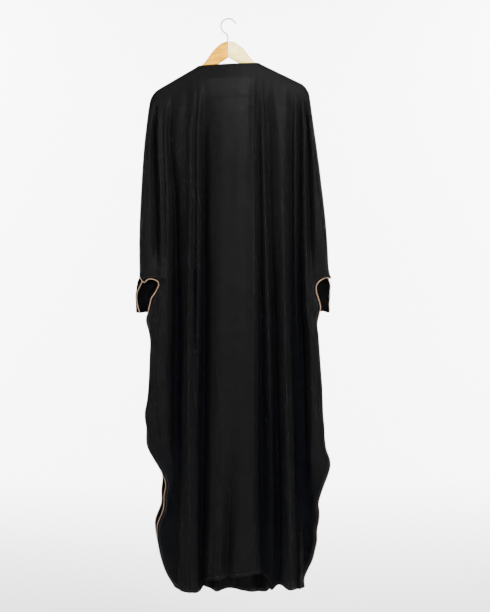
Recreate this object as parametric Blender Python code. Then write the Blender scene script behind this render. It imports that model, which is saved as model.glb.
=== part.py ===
"""A butterfly abaya with an open V front, hung from a contoured wooden hanger.

Frame: metres, +Z up. The origin is the underside of the top of the hook's bend, where the
hanger is held. The garment's back faces -Y and its front faces +Y. +X is to the right as
the back is seen. Left and right in the names are those of this view.

The cloth hangs in upright folds. Each panel is a grid: its columns follow the folds' crests
and hollows, which two short tables give, and its rows step down from the shoulder line to
the hem. A wall of even thickness is made from each grid.
"""

import math

import bmesh
import bpy
import numpy as np

# Driving sizes, in metres
WALL = 0.0012  # thickness of the cloth
SEAM_GAP = 0.0003  # between two pieces that are sewn together
NARROWEST = 0.0013  # least distance between two columns of a panel
SHARP_FROM = 50  # degrees

# The shoulder line that the cloth takes over the hanger
HANGER_TILT = math.tan(math.radians(2.8))
NECK_HALF = 0.083
NECK_Z = -0.1202
SHOULDER_SLOPE = 0.505
SHOULDER_BEND_X = 0.187
SHOULDER_BEND = 0.021
SHOULDER_BEND_DROP = 0.009
SHOULDER_BEND_LIMIT = 1.12  # the bend's curve stops at this share of its length
CONTOUR = 0.15  # how far the hanger's arms sweep to the front, for each metre outwards
CONTOUR_REACH = 0.24
CONTOUR_KEPT_LOW = 0.4  # the share of that sweep that the cloth keeps below the wrist
CONTOUR_EASES_AT = -0.25
CONTOUR_EASES_OVER = 0.5
SHOULDER_END_Z = -0.204
WRIST_Z = -0.690

# Depth of the hanging body
ARM_CLEARANCE = 0.0095  # from the arm's middle out to the cloth beside it
ROUND_OVER_ARM = 0.014
BACK_DEPTH = 0.015
FRONT_DEPTH = 0.045
BACK_FILLS_BY = 0.2
FRONT_FILLS_BY = 0.18
EDGE_ROUND = 0.018  # how far in from the wing's fold the cloth reaches its full depth
EDGE_STANDS_IN = 0.0015  # from the line of that fold to the open edge below the wrist
EDGE_LIES_FLAT = 0.022  # the folds' relief fades out this far in from an open edge
FOLD_CLOSES_IN = 0.25  # how fast that line comes in along the wrist opening
FOLDS_START = 0.012  # from the shoulder line down to the first of the folds
FOLDS_FULL = 0.1
FRONT_FOLDS_START = 0.07  # the fronts hang smooth over the hanger's bar
FRONT_FOLDS_FULL = 0.12
NECK_FREE = 0.088  # the back's neck edge hangs free of the arms within this
NECK_TURN = 0.012
NECK_STANDS_OFF = 0.0015
FRONT_OVERLAP_STEP = 0.002  # each front keeps this far from their common middle
OVERLAP_REACH = 0.06

# Hanger
ARM_REACH = 0.198
ARM_MIDDLE_GAP = 0.0004  # from the hanger's middle to each wooden half
ARM_THICKNESS = 0.015
HOOK_RADIUS = 0.0203
WIRE_RADIUS = 0.0018
WIRE_SIDES = 10
BAR_RADIUS = 0.004
BAR_SIDES = 12
BAR_Z = -0.205
BAR_Y = 0.0255
BAR_HALF = 0.18
BAR_HOLE_DEPTH = 0.06
ARM_UNDER_Z = -0.103
ARM_UNDER_SLOPE = 0.56
ARM_UNDER_CLOTH = 0.0016
ARM_DIP = 0.0025  # the arms lie this much lower where they pass under the neck's corners
ARM_DIP_REACH = 0.014
ARM_HEEL = 0.01  # the arms are this much deeper where they take the bar
ARM_HEEL_X = (0.11, 0.17)
ARM_HEEL_ENDS_X = (0.178, 0.198)
ARM_SECTIONS_BARE = 8
ARM_SECTIONS_OUTER = 10
ARM_SECTION_STEP = 0.016
ARM_SIDES = 12
ARM_SQUARENESS = 2.6
ARCH_RISE = 0.0245
ARCH_ROUND = 0.012
HOOK_OPENS_AT = 15
HOOK_CLOSES_AT = 248
HOOK_BEND_POINTS = 16
HOOK_STEM = 0.008
HOOK_NECK = ((-5.6, 0, -39.0), (-3.4, 0, -42.5), (-2.2, 0, -47.0))

# Trim
PIPING_RADIUS = 0.0014
PIPING_SIDES = 6
TRIM_GAP = 0.0005
PIPING_SKIPS = 1  # points left out where two pipings start from one seam
FACING_WALL = 0.001
FACING_SHARE = 0.07  # the facing ends at this share of the way to the wrist
BAND_WIDTH = 0.019
BAND_COLUMNS = 3
BAND_TOP_ROW = 2

# Rows of the panels above the wrist, as shares of the way down from the shoulder line
UPPER_ROWS = (0, 0.004, 0.012, 0.028, 0.069, 0.13, 0.22, 0.35, 0.52, 0.70, 0.87, 1.0)

# Side edges, in millimetres: height, then the X of each panel's edge.
# The edges run down the fold of the wing to the wrist, in along its opening, and down the
# open side to the rounded corner at the hem.
SIDE_EDGES = (
    # height, back_left, back_right, front_left, front_right
    (-204, -210, 215, -210, 215),
    (-230, -215, 220, -215, 220),
    (-284, -223, 229, -223, 229),
    (-365, -231, 240, -231, 240),
    (-486, -238, 254, -238, 254),
    (-607, -241, 265, -241, 265),
    (-690, -239, 271, -239, 271),
    (-695, -218, 261, -228, 262),
    (-699, -201, 248, -217, 252),
    (-705, -190, 238, -205, 242),
    (-712, -186, 233, -197, 235),
    (-728, -190, 231, -191, 230),
    (-748, -204, 236, -198, 232),
    (-780, -213, 242, -208, 237),
    (-807, -218, 237, -213, 233),
    (-863, -209, 241, -206, 236),
    (-950, -212, 247, -208, 242),
    (-1040, -219, 251, -215, 247),
    (-1120, -221, 258, -217, 254),
    (-1172, -206, 266, -203, 262),
    (-1207, -185, 269, -186, 263),
    (-1250, -166, 254, -178, 249),
    (-1280, -172, 246, -180, 242),
    (-1310, -173, 240, -182, 236),
    (-1350, -187, 239, -193, 234),
    (-1400, -189, 234, -192, 230),
    (-1454, -178, 221, -180, 217),
    (-1492, -163, 204, -166, 201),
    (-1527, -140, 203, -145, 199),
)
HEM_START_Z = -1.454
CLOSING_ROWS = (0.5, 1.0)
SETTLING_STEPS = 6  # repeats that bring the columns' tops onto the sloping shoulder line

# Hems, in millimetres along X and Z
BACK_HEM = (
    (-140, -1527),
    (-97, -1534),
    (-73, -1530),
    (-63, -1517),
    (-48, -1506),
    (16, -1497),
    (86, -1493),
    (102, -1508),
    (117, -1521),
    (138, -1516),
    (174, -1522),
    (203, -1521),
)
FRONT_HEM = (
    (-145, -1526),
    (-66, -1531),
    (-38, -1544),
    (15, -1538),
    (74, -1548),
    (98, -1545),
    (117, -1538),
    (199, -1518),
)

# Centre front edges, in millimetres: height, then each front's X
FRONT_EDGES = (
    # height, left front, right front
    (-124, -82, 81),
    (-165, -59, 68),
    (-207, -49, 56),
    (-265, -28, 36),
    (-317, -11, 19),
    (-370, 6, 2),
    (-420, 14, -6),
    (-500, 16, -6),
    (-1024, 19, 0),
    (-1540, 21, 3),
)

# Folds of the back: heights in metres, then a row for each crest or hollow.
# X and relief are in millimetres. Relief is positive towards the viewer of the back.
# A line with two points has a rounded crest, and a line with one is small and sharp.
FOLD_HEIGHTS = (-0.25, -0.70, -1.16, -1.495)
BACK_FOLDS = (
    # name, points, (X at the four heights), (relief at the four heights)
    ("left crown", 1, (-206, -213, -202, -158), (8, 6, 4, 2)),
    ("left sleeve crease", 2, (-195, -188, -186, -155), (-16, 6, 4, 0)),
    ("left inner sleeve", 2, (-181, -176, -173, -149), (14, 16, 14, 4)),
    ("left outer hollow", 2, (-155, -136, -136, -138), (-5, -21, -20, -12)),
    ("left main fold", 2, (-94, -103, -101, -101), (14, 19, 19, 18)),
    ("left slit", 1, (-85, -90, -88, -88), (5, 4, 12, 14)),
    ("left small fold", 1, (-78, -79, -77, -79), (12, 11, 4, 0)),
    ("left deep hollow", 2, (-58, -61, -65, -71), (-8, -21, -22, -20)),
    ("centre left", 2, (-23, -16, -15, -34), (12, 11, 12, 12)),
    ("centre", 1, (4, 5, 6, -4), (13, 11, 11, 4)),
    ("centre right", 2, (31, 35, 39, 28), (12, 11, 12, 10)),
    ("right dip", 1, (52, 50, 52, 50), (6, 8, 10, 7)),
    ("right edge of centre", 2, (69, 69, 65, 69), (13, 13, 11, 10)),
    ("right deep hollow", 2, (81, 87, 91, 95), (-6, -16, -21, -20)),
    ("right small fold", 2, (90, 104, 117, 116), (5, 5, -2, -8)),
    ("right second hollow", 2, (104, 119, 136, 136), (-8, -19, -22, -20)),
    ("right main fold", 2, (130, 152, 163, 169), (14, 18, 20, 20)),
    ("right slit", 2, (179, 171, 187, 186), (-2, -15, -12, -12)),
    ("right thin fold", 1, (187, 182, 198, 195), (8, 2, -10, 8)),
    ("right outer hollow", 2, (196, 197, 214, 208), (-10, -20, -21, -16)),
    ("right inner sleeve", 2, (204, 214, 240, 216), (12, 17, 16, -6)),
    ("right sleeve crease", 2, (211, 226, 249, 225), (-14, 8, 0, -8)),
    ("right crown", 1, (217, 249, 258, 227), (8, 8, 6, -4)),
)
SLEEVE_CREASE = -0.015  # the relief of the two sleeve creases above the wrist
CREASE_END = (-0.60, -0.69)

# Folds of a front: share of the way in from the side to the centre front, then relief in
# millimetres at the four heights, positive towards the front.
FRONT_FOLDS_LEFT = (
    # name, points, share, (relief at the four heights)
    ("crown", 1, 0.07, (8, 8, 6, 3)),
    ("sleeve crease", 2, 0.15, (-12, -8, 0, 0)),
    ("side fold", 2, 0.24, (12, 14, 14, 8)),
    ("side hollow", 2, 0.35, (-10, -15, -16, -12)),
    ("outer fold", 2, 0.47, (12, 15, 16, 14)),
    ("outer hollow", 2, 0.58, (-10, -16, -16, -12)),
    ("inner fold", 2, 0.70, (8, 13, 15, 14)),
    ("inner hollow", 2, 0.84, (-2, -12, -14, -8)),
    ("edge", 1, 1.0, (0, 2, 3, 4)),
)
FRONT_FOLDS_RIGHT = (
    # name, points, share, (relief at the four heights)
    ("crown", 1, 0.06, (8, 8, 6, 3)),
    ("sleeve crease", 2, 0.13, (-12, -8, 0, 0)),
    ("side fold", 2, 0.22, (11, 15, 14, 6)),
    ("side hollow", 2, 0.31, (-10, -14, -15, -10)),
    ("outer fold", 2, 0.43, (12, 16, 16, 14)),
    ("outer hollow", 2, 0.56, (-8, -16, -15, -14)),
    ("inner fold", 2, 0.68, (7, 12, 16, 12)),
    ("inner hollow", 2, 0.82, (-4, -13, -12, -12)),
    ("edge", 1, 1.0, (0, 2, 3, 4)),
)
CREST_SHARE = 0.25  # half width of a rounded crest, as a share of the way to the next line

# Inner cuffs: height, outermost X, half width, half depth, all in millimetres
CUFF_LEFT = (
    (-672, -235.6, 36, 11),
    (-690, -235.6, 36, 12),
    (-701, -237, 37, 13),
    (-715, -242, 39, 14),
    (-740, -247, 41, 15),
    (-765, -247, 40, 14),
    (-785, -245, 39, 12),
)
CUFF_RIGHT = (
    (-672, 264.7, 27, 13),
    (-690, 265, 28, 14),
    (-701, 268, 29, 15),
    (-715, 271, 31, 17),
    (-740, 270, 30, 18),
    (-765, 269, 30, 17),
    (-785, 268, 29, 15),
)
CUFF_LEFT_DEPTH = 0.0105
CUFF_RIGHT_DEPTH = 0.0138
CUFF_SIDES = 20
CUFF_SEAM_START = 3  # the section at which the seam's piping starts
CUFF_SEAM_LEFT = (230, 230, 228, 215, 196, 200, 215)  # degrees round the sections
CUFF_SEAM_RIGHT = (330, 330, 334, 345, 350, 350, 350)


def remove_everything():
    """The scene is emptied of its objects."""
    for thing in list(bpy.data.objects):
        bpy.data.objects.remove(thing, do_unlink=True)


def smooth_step(t):
    """0 below 0, 1 above 1, and a smooth rise between."""
    t = np.clip(t, 0.0, 1.0)
    return t * t * (3 - 2 * t)


def quarter_round(t):
    """The rise of a quarter circle, from 0 at t = 0 to 1 at t = 1 and beyond."""
    t = np.clip(t, 0.0, 1.0)
    return np.sqrt(1 - (1 - t) ** 2)


def curve_through(knots, values, at):
    """A smooth curve through the values at the knots, level with them beyond the ends.

    Between two knots it is the cubic whose slope at each is that of the line joining its
    neighbours.
    """
    order = np.argsort(knots)
    knots = np.asarray(knots, float)[order]
    values = np.asarray(values, float)[order]
    slopes = np.gradient(values, knots)
    at = np.clip(at, knots[0], knots[-1])
    k = np.clip(np.searchsorted(knots, at, side="right") - 1, 0, len(knots) - 2)
    span = knots[k + 1] - knots[k]
    t = (at - knots[k]) / span
    rise = smooth_step(t)
    start = t * (1 - t) ** 2 * span * slopes[k]
    end = -t * t * (1 - t) * span * slopes[k + 1]
    return values[k] * (1 - rise) + values[k + 1] * rise + start + end


def shoulder_z(x):
    """Height of the line over the hanger: the neck edge, the slope and the rounded end."""
    out = np.abs(x)
    slope = NECK_Z - SHOULDER_SLOPE * np.maximum(out - NECK_HALF, 0)
    past = np.clip((out - SHOULDER_BEND_X) / SHOULDER_BEND, 0, SHOULDER_BEND_LIMIT)
    return slope - SHOULDER_BEND_DROP * past**3 + x * HANGER_TILT


def middle_y(x, z):
    """Where the middle of the hung garment lies: it follows the hanger's swept arms."""
    eased = smooth_step((CONTOUR_EASES_AT - z) / CONTOUR_EASES_OVER)
    kept = 1 - (1 - CONTOUR_KEPT_LOW) * eased
    return CONTOUR * np.minimum(np.abs(x), CONTOUR_REACH) * kept


def fold_values(rows, z):
    """A value for each line of a fold table at the heights z, in metres."""
    return np.stack([curve_through(FOLD_HEIGHTS, row, z) for row in rows]) / 1000


def fold_samples(folds):
    """Places of the columns, counted in fold lines: each line has one or two columns."""
    places = []
    for line, fold in enumerate(folds):
        if fold[1] == 1:
            places.append(line)
        else:
            places += [line - CREST_SHARE, line + CREST_SHARE]
    return np.array(places, float)


def blend_lines(lines, places, eased):
    """Values at the columns' places, straight or eased between the fold lines.

    lines holds a value for each line, row and column.
    """
    k = np.clip(np.floor(places).astype(int), 0, len(lines) - 2)
    t = (places - k)[:, None]
    if eased:
        t = (1 - np.cos(math.pi * t)) / 2
    column = np.arange(len(places))
    return (lines[k, :, column] * (1 - t) + lines[k + 1, :, column] * t).T


def spread(positions, low, high):
    """The columns' X, kept in order between the two edges of their row."""
    index = np.arange(positions.shape[1])
    kept = np.maximum(positions, low[:, None] + index * NARROWEST)
    kept = np.minimum(kept, high[:, None] - index[::-1] * NARROWEST)
    kept[:, 0] = low
    kept[:, -1] = high
    return kept


def read_table(table, column, z):
    """A column of a table of heights, in metres, at the heights z."""
    rows = np.array(table, float)[::-1] / 1000
    return np.interp(z, rows[:, 0], rows[:, column])


def wing_fold_x(column, z):
    """X of the wing's outer fold, which below the wrist lies just outside the edge."""
    edge = read_table(SIDE_EDGES, column, z)
    wrist = abs(read_table(SIDE_EDGES, column, WRIST_Z))
    closing_in = wrist - FOLD_CLOSES_IN * np.maximum(WRIST_Z - z, 0)
    below = np.maximum(np.abs(edge) + EDGE_STANDS_IN, closing_in)
    return np.where(z >= WRIST_Z, edge, np.sign(edge) * below)


def hem_z(table, x):
    """Height of a hem along X."""
    points = np.array(table, float) / 1000
    return np.interp(x, points[:, 0], points[:, 1])


def row_heights(top, hem):
    """Heights of a grid's points: shares of the way to the wrist, then the table's rows.

    The last rows close in on the hem.
    """
    upper = top + (WRIST_Z - top) * np.array(UPPER_ROWS)[:, None]
    table = np.array([row[0] for row in SIDE_EDGES]) / 1000
    lower = table[(table < WRIST_Z) & (table >= HEM_START_Z)][:, None]
    lower = np.broadcast_to(lower, (len(lower), len(top)))
    closing = [HEM_START_Z + (hem - HEM_START_Z) * share for share in CLOSING_ROWS]
    return np.concatenate([upper, lower, np.stack(closing)])


def grid_plan(place, low_edge, high_edge, hem_table, mirror=1):
    """X and Z of a panel's points, with X in the mirror's own direction.

    place gives the columns' X at a grid of heights. The two edges bound each row.
    """
    z = np.full(place(np.zeros((1, 1))).shape, SHOULDER_END_Z)
    for _ in range(SETTLING_STEPS):
        top_x = spread(place(z), low_edge(z[:, 0]), high_edge(z[:, -1]))
        z = shoulder_z(mirror * top_x)
    hem_x = place(np.full_like(z, FOLD_HEIGHTS[-1]))
    z = row_heights(z[0], hem_z(hem_table, mirror * hem_x[0]))
    x = spread(place(z), low_edge(z[:, 0]), high_edge(z[:, -1]))
    x[0] = top_x[0]
    return x, z


def unit(vectors):
    """Vectors of length one."""
    return vectors / np.maximum(np.linalg.norm(vectors, axis=-1, keepdims=True), 1e-12)


def directions(grid, axis):
    """The way along one axis at each point: halfway between those of its two segments."""
    steps = unit(np.diff(grid, axis=axis))
    first, last = [slice(None)] * 3, [slice(None)] * 3
    first[axis], last[axis] = slice(0, 1), slice(-1, None)
    before = np.concatenate([steps[tuple(first)], steps], axis=axis)
    after = np.concatenate([steps, steps[tuple(last)]], axis=axis)
    return unit(before + after)


def grid_normals(grid, facing):
    """Unit normals of a grid, on the side given by the sign of facing along Y."""
    normals = unit(np.cross(directions(grid, 1), directions(grid, 0)))
    middle = normals[len(grid) // 2, :, 1].sum()
    return normals * (facing * np.sign(middle))


def square_to_seams(grid, normals, top_share, sewn_sides):
    """Normals along a seam lie in the seam's plane, so that the two rims stay apart.

    top_share is how far each column's top is on the shoulder seam. sewn_sides names the
    columns that lie on the wing's outer fold, each with its outward direction.
    """
    run = np.gradient(grid[0], axis=0)
    up = unit(np.stack([-run[:, 2], 0 * run[:, 2], run[:, 0]], axis=-1))
    up *= np.sign(up[:, 2:3])
    turned = normals.copy()
    turned[0] = unit(normals[0] * (1 - top_share[:, None]) + up * top_share[:, None])
    for column, direction in sewn_sides:
        sewn = grid[:, column, 2] > WRIST_Z - SEAM_GAP
        turned[sewn, column] = (direction, 0.0, 0.0)
        turned[0, column] = unit(up[column] + (direction, 0.0, 0.0))
    return turned


def wall_between(outer, inner):
    """Points and faces of a closed wall between two grids of the same size."""
    rows, columns = outer.shape[:2]
    points = np.concatenate([outer.reshape(-1, 3), inner.reshape(-1, 3)])
    front = np.arange(rows * columns).reshape(rows, columns)
    rear = front + rows * columns

    def quads(*corners):
        return np.stack([corner.ravel() for corner in corners], axis=-1)

    faces = [
        quads(front[:-1, :-1], front[1:, :-1], front[1:, 1:], front[:-1, 1:]),
        quads(rear[:-1, :-1], rear[:-1, 1:], rear[1:, 1:], rear[1:, :-1]),
        quads(front[0, :-1], front[0, 1:], rear[0, 1:], rear[0, :-1]),
        quads(front[-1, 1:], front[-1, :-1], rear[-1, :-1], rear[-1, 1:]),
        quads(front[1:, 0], front[:-1, 0], rear[:-1, 0], rear[1:, 0]),
        quads(front[:-1, -1], front[1:, -1], rear[1:, -1], rear[:-1, -1]),
    ]
    return points, np.concatenate(faces).tolist()


def skin_through(rings):
    """Points and faces of a closed skin through rings, with a cap at each end."""
    count, sides = rings.shape[:2]
    index = np.arange(count * sides).reshape(count, sides)
    after = np.roll(index, -1, axis=1)
    corners = (index[:-1], after[:-1], after[1:], index[1:])
    faces = np.stack([corner.ravel() for corner in corners], axis=-1).tolist()
    faces.append(index[0].tolist())
    faces.append(index[-1, ::-1].tolist())
    return rings.reshape(-1, 3), faces


def solid(name, points, faces, material):
    """One closed solid with its faces pointing out."""
    mesh = bpy.data.meshes.new(name)
    mesh.from_pydata(points.tolist(), [], faces)
    edit = bmesh.new()
    edit.from_mesh(mesh)
    bmesh.ops.recalc_face_normals(edit, faces=edit.faces[:])
    edit.to_mesh(mesh)
    edit.free()
    mesh.shade_smooth()
    mesh.set_sharp_from_angle(angle=math.radians(SHARP_FROM))
    mesh.materials.append(material)
    made = bpy.data.objects.new(name, mesh)
    bpy.context.collection.objects.link(made)
    return made


def tube(name, path, radius, sides, material):
    """A round tube along a path, with flat ends.

    Each ring stands square to the path, turned as little as possible from the one before.
    """
    path = np.asarray(path, float)
    tangents = unit(np.gradient(path, axis=0))
    side = np.cross(tangents[0], (0.0, 1.0, 0.0))
    angles = np.arange(sides) * 2 * math.pi / sides
    rings = []
    for point, tangent in zip(path, tangents):
        side = unit(side - tangent * np.dot(side, tangent))
        other = np.cross(tangent, side)
        circle = np.outer(np.cos(angles), side) + np.outer(np.sin(angles), other)
        rings.append(point + radius * circle)
    points, faces = skin_through(np.array(rings))
    return solid(name, points, faces, material)


def make_material(name, colour, roughness, metallic=0.0):
    """A plain finish."""
    material = bpy.data.materials.new(name)
    material.use_nodes = True
    shader = material.node_tree.nodes["Principled BSDF"]
    shader.inputs["Base Color"].default_value = (*colour, 1.0)
    shader.inputs["Roughness"].default_value = roughness
    shader.inputs["Metallic"].default_value = metallic
    return material


def back_panel():
    """Points of the back panel and their normals, which point to -Y.

    Across a row the depth is that of the garment's middle, less the body's depth, less the
    folds' relief. It closes to nothing over the hanger's arms and along the wing's outer
    fold, where the back is sewn to the fronts. The neck edge hangs free of the arms.
    """
    samples = fold_samples(BACK_FOLDS)
    places = np.concatenate([[0.0], samples, [len(BACK_FOLDS) - 1.0]])
    x_rows = [fold[2] for fold in BACK_FOLDS]
    relief_rows = [fold[3] for fold in BACK_FOLDS]
    creases = [k for k, fold in enumerate(BACK_FOLDS) if "sleeve crease" in fold[0]]

    def place(z):
        z = np.broadcast_to(z, (len(z), len(places)))
        return blend_lines(fold_values(x_rows, z), places, False)

    def low_edge(z):
        return read_table(SIDE_EDGES, 1, z)

    def high_edge(z):
        return read_table(SIDE_EDGES, 2, z)

    x, z = grid_plan(place, low_edge, high_edge, BACK_HEM)
    lines = fold_values(relief_rows, z)
    held = smooth_step((z - CREASE_END[1]) / (CREASE_END[0] - CREASE_END[1]))
    lines[creases] += (SLEEVE_CREASE - lines[creases]) * held
    relief = blend_lines(lines, places, True)
    from_edge = np.minimum(x - x[:, :1], x[:, -1:] - x)
    relief *= np.where(z < WRIST_Z, smooth_step(from_edge / EDGE_LIES_FLAT), 1.0)

    below = shoulder_z(x) - z
    free = smooth_step((NECK_FREE - np.abs(x)) / NECK_TURN)
    over_arm = ARM_CLEARANCE * quarter_round(below / ROUND_OVER_ARM)
    depth = over_arm * (1 - free) + (ARM_CLEARANCE + NECK_STANDS_OFF) * free
    depth += (BACK_DEPTH - ARM_CLEARANCE) * smooth_step(below / BACK_FILLS_BY)
    depth += relief * smooth_step((below - FOLDS_START) / FOLDS_FULL)
    inside = np.minimum(x - wing_fold_x(1, z), wing_fold_x(2, z) - x)
    depth *= quarter_round(inside / EDGE_ROUND)
    grid = np.stack([x, middle_y(x, z) - depth - SEAM_GAP / 2, z], axis=-1)
    normals = grid_normals(grid, -1)
    normals = square_to_seams(grid, normals, 1 - free[0], ((0, -1), (-1, 1)))
    return grid, normals


def front_panel(side):
    """Points of a front and their normals, which point to +Y. side is -1 left, 1 right.

    The folds stand at shares of the way from the wing's fold to the centre front edge, where
    the last three columns carry the edge band. The two fronts pass each other at the centre.
    """
    folds = FRONT_FOLDS_LEFT if side < 0 else FRONT_FOLDS_RIGHT
    side_column, centre_column = (3, 1) if side < 0 else (4, 2)
    samples = fold_samples(folds[:-1])
    places = np.concatenate([[0.0], samples])
    shares = [[fold[2] * 1000] * len(FOLD_HEIGHTS) for fold in folds]
    relief_rows = [fold[3] for fold in folds]

    def outer(z):
        return -side * read_table(SIDE_EDGES, side_column, z)

    def centre(z):
        return -side * read_table(FRONT_EDGES, centre_column, z)

    def fold_x(z):
        return -side * wing_fold_x(side_column, z)

    def place(z):
        wide = np.broadcast_to(z, (len(z), len(places) + BAND_COLUMNS))
        body, border = wide[:, :-BAND_COLUMNS], wide[:, -BAND_COLUMNS:]
        share = blend_lines(fold_values(shares, body), places, False)
        start = fold_x(body)
        end = centre(body) - BAND_WIDTH - NARROWEST
        band = centre(border) - BAND_WIDTH * np.linspace(1, 0, BAND_COLUMNS)
        return np.concatenate([start + share * (end - start), band], axis=1)

    x, z = grid_plan(place, outer, centre, FRONT_HEM, -side)
    own = np.concatenate([places, [len(folds) - 1.0] * BAND_COLUMNS])
    relief = blend_lines(fold_values(relief_rows, z), own, True)
    flat = smooth_step((x - x[:, :1]) / EDGE_LIES_FLAT)
    relief *= np.where(z < WRIST_Z, flat, 1.0)

    world_x = -side * x
    below = shoulder_z(world_x) - z
    depth = ARM_CLEARANCE * quarter_round(below / ROUND_OVER_ARM)
    depth += (FRONT_DEPTH - ARM_CLEARANCE) * smooth_step(below / FRONT_FILLS_BY)
    depth += relief * smooth_step((below - FRONT_FOLDS_START) / FRONT_FOLDS_FULL)
    near_centre = smooth_step(1 - np.abs(centre(z) - x) / OVERLAP_REACH)
    depth += side * FRONT_OVERLAP_STEP * near_centre * smooth_step(below / FRONT_FILLS_BY)
    depth *= quarter_round((x - fold_x(z)) / EDGE_ROUND)
    grid = np.stack([world_x, middle_y(world_x, z) + depth + SEAM_GAP / 2, z], axis=-1)
    normals = grid_normals(grid, 1)
    normals = square_to_seams(grid, normals, np.ones(x.shape[1]), ((0, side),))
    return grid, normals


def wall(name, grid, normals, thickness, lift, material):
    """A wall of even thickness whose inner side lies at lift from the grid."""
    inner = grid + normals * lift
    points, faces = wall_between(inner + normals * thickness, inner)
    return solid(name, points, faces, material)


def edge_piping(name, grid, normals, column, material):
    """Piping along a panel's side edge, from the wrist opening down to the hem's corner.

    Its path lies outside the edge by its own radius and the seam's gap.
    """
    start = len(UPPER_ROWS)
    edge = grid[start - 1:, column]
    normal = normals[start - 1:, column]
    away = unit(np.cross(np.gradient(edge, axis=0), normal))
    inward = grid[start - 1:, 1 if column == 0 else -2] - edge
    away *= -np.sign((away * inward).sum(axis=1).mean())
    path = edge + away * (PIPING_RADIUS + TRIM_GAP)
    return tube(name, path[PIPING_SKIPS:], PIPING_RADIUS, PIPING_SIDES, material)


def cuff(name, rows, side, depth_y, material):
    """An open tube of even wall through oval sections, which hangs from the wrist."""
    table = np.array(rows, float) / 1000
    angles = np.arange(CUFF_SIDES) * 2 * math.pi / CUFF_SIDES
    rings = []
    for height, outermost, half_width, half_depth in table:
        middle = outermost - side * half_width
        y = middle_y(middle, height) + depth_y
        across, along = np.cos(angles), np.sin(angles)
        rings.append((middle, y, height, half_width, half_depth, across, along))
    outer = [ring_points(*ring, 0.0) for ring in rings]
    inner = [ring_points(*ring, WALL) for ring in rings]
    count = len(rings)
    index = np.arange(count * CUFF_SIDES).reshape(count, CUFF_SIDES)
    loop = np.concatenate([index, (index + index.size)[::-1]])
    loop = np.concatenate([loop, loop[:1]])
    after = np.roll(loop, -1, axis=1)
    corners = (loop[:-1], after[:-1], after[1:], loop[1:])
    faces = np.stack([corner.ravel() for corner in corners], axis=-1).tolist()
    points = np.concatenate(outer + inner)
    return solid(name, points, faces, material), np.array(outer)


def ring_points(x, y, z, half_width, half_depth, across, along, inset):
    """Points of an oval section, set in by the wall."""
    ring = [x + (half_width - inset) * across, y + (half_depth - inset) * along]
    return np.stack(ring + [np.full_like(across, z)], axis=-1)


def cuff_seam(name, outer, places, material):
    """Piping down a cuff's seam. places give the seam's turn round each section."""
    middles = outer.mean(axis=1)
    halves = np.ptp(outer, axis=1) / 2
    turns = np.radians(places)
    round_it = np.stack([np.cos(turns), np.sin(turns), 0 * turns], axis=-1)
    away = unit(np.cross([0.0, 0.0, 1.0], round_it) * halves)
    away = np.cross(away, [0.0, 0.0, 1.0])
    path = middles + halves * round_it + away * (PIPING_RADIUS + TRIM_GAP)
    path = path[CUFF_SEAM_START:]
    return tube(name, path, PIPING_RADIUS, PIPING_SIDES, material)


def arm_underside_z(x):
    """Height of the underside of the hanger's arms, with the heel that takes the bar."""
    out = np.abs(x)
    heel = smooth_step((out - ARM_HEEL_X[0]) / (ARM_HEEL_X[1] - ARM_HEEL_X[0]))
    ends = ARM_HEEL_ENDS_X
    heel *= 1 - smooth_step((out - ends[0]) / (ends[1] - ends[0]))
    return ARM_UNDER_Z - ARM_UNDER_SLOPE * out - ARM_HEEL * heel + x * HANGER_TILT


def arm_top_z(x):
    """Height of the top of the arms: under the cloth's line, then up to the middle's arch."""
    out = np.abs(x)
    dip = ARM_UNDER_CLOTH + ARM_DIP * np.exp(-((out - NECK_HALF) / ARM_DIP_REACH) ** 2)
    line = shoulder_z(x) - WALL / 2 - dip
    bare = NECK_Z - dip + SHOULDER_SLOPE * (NECK_HALF - out) + x * HANGER_TILT
    rise = ARCH_RISE * smooth_step((NECK_HALF - out) / NECK_HALF)
    round_off = SHOULDER_SLOPE * ARCH_ROUND * np.exp(-out / ARCH_ROUND)
    return np.where(out > NECK_HALF, line, bare + rise - round_off)


def hanger_arm(name, side, material):
    """One wooden half of the hanger, with the hole that takes the end of the bar."""
    bare = np.linspace(ARM_MIDDLE_GAP, NECK_HALF, ARM_SECTIONS_BARE)
    under_cloth = np.linspace(NECK_HALF + ARM_SECTION_STEP, ARM_REACH, ARM_SECTIONS_OUTER)
    outs = np.concatenate([bare, under_cloth])
    rings = []
    for out in outs:
        x = side * out
        top, under = float(arm_top_z(x)), float(arm_underside_z(x))
        half_y = ARM_THICKNESS / 2
        half_z = (top - under) / 2
        turn = np.arange(ARM_SIDES) * 2 * math.pi / ARM_SIDES
        cos, sin = np.cos(turn), np.sin(turn)
        square = 2 / ARM_SQUARENESS
        y = CONTOUR * out + half_y * np.sign(cos) * np.abs(cos) ** square
        z = (top + under) / 2 + half_z * np.sign(sin) * np.abs(sin) ** square
        rings.append(np.stack([np.full_like(y, x), y, z], axis=-1))
    points, faces = skin_through(np.array(rings))
    arm = solid(name, points, faces, material)
    hole = bar_hole(side)
    cut = arm.modifiers.new("bar hole", "BOOLEAN")
    cut.operation = "DIFFERENCE"
    cut.solver = "EXACT"
    cut.object = hole
    return arm


def bar_end(x):
    """A point on the bar's axis."""
    return (x, BAR_Y, BAR_Z + x * HANGER_TILT)


def bar_hole(side):
    """The cutter for the hole that takes an end of the bar."""
    deepest = BAR_HALF + SEAM_GAP
    ends = (bar_end(side * (BAR_HALF - BAR_HOLE_DEPTH)), bar_end(side * deepest))
    cutter = tube("bar hole", ends, BAR_RADIUS + SEAM_GAP, BAR_SIDES, None)
    cutter.hide_render = True
    cutter.display_type = "WIRE"
    return cutter


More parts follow.
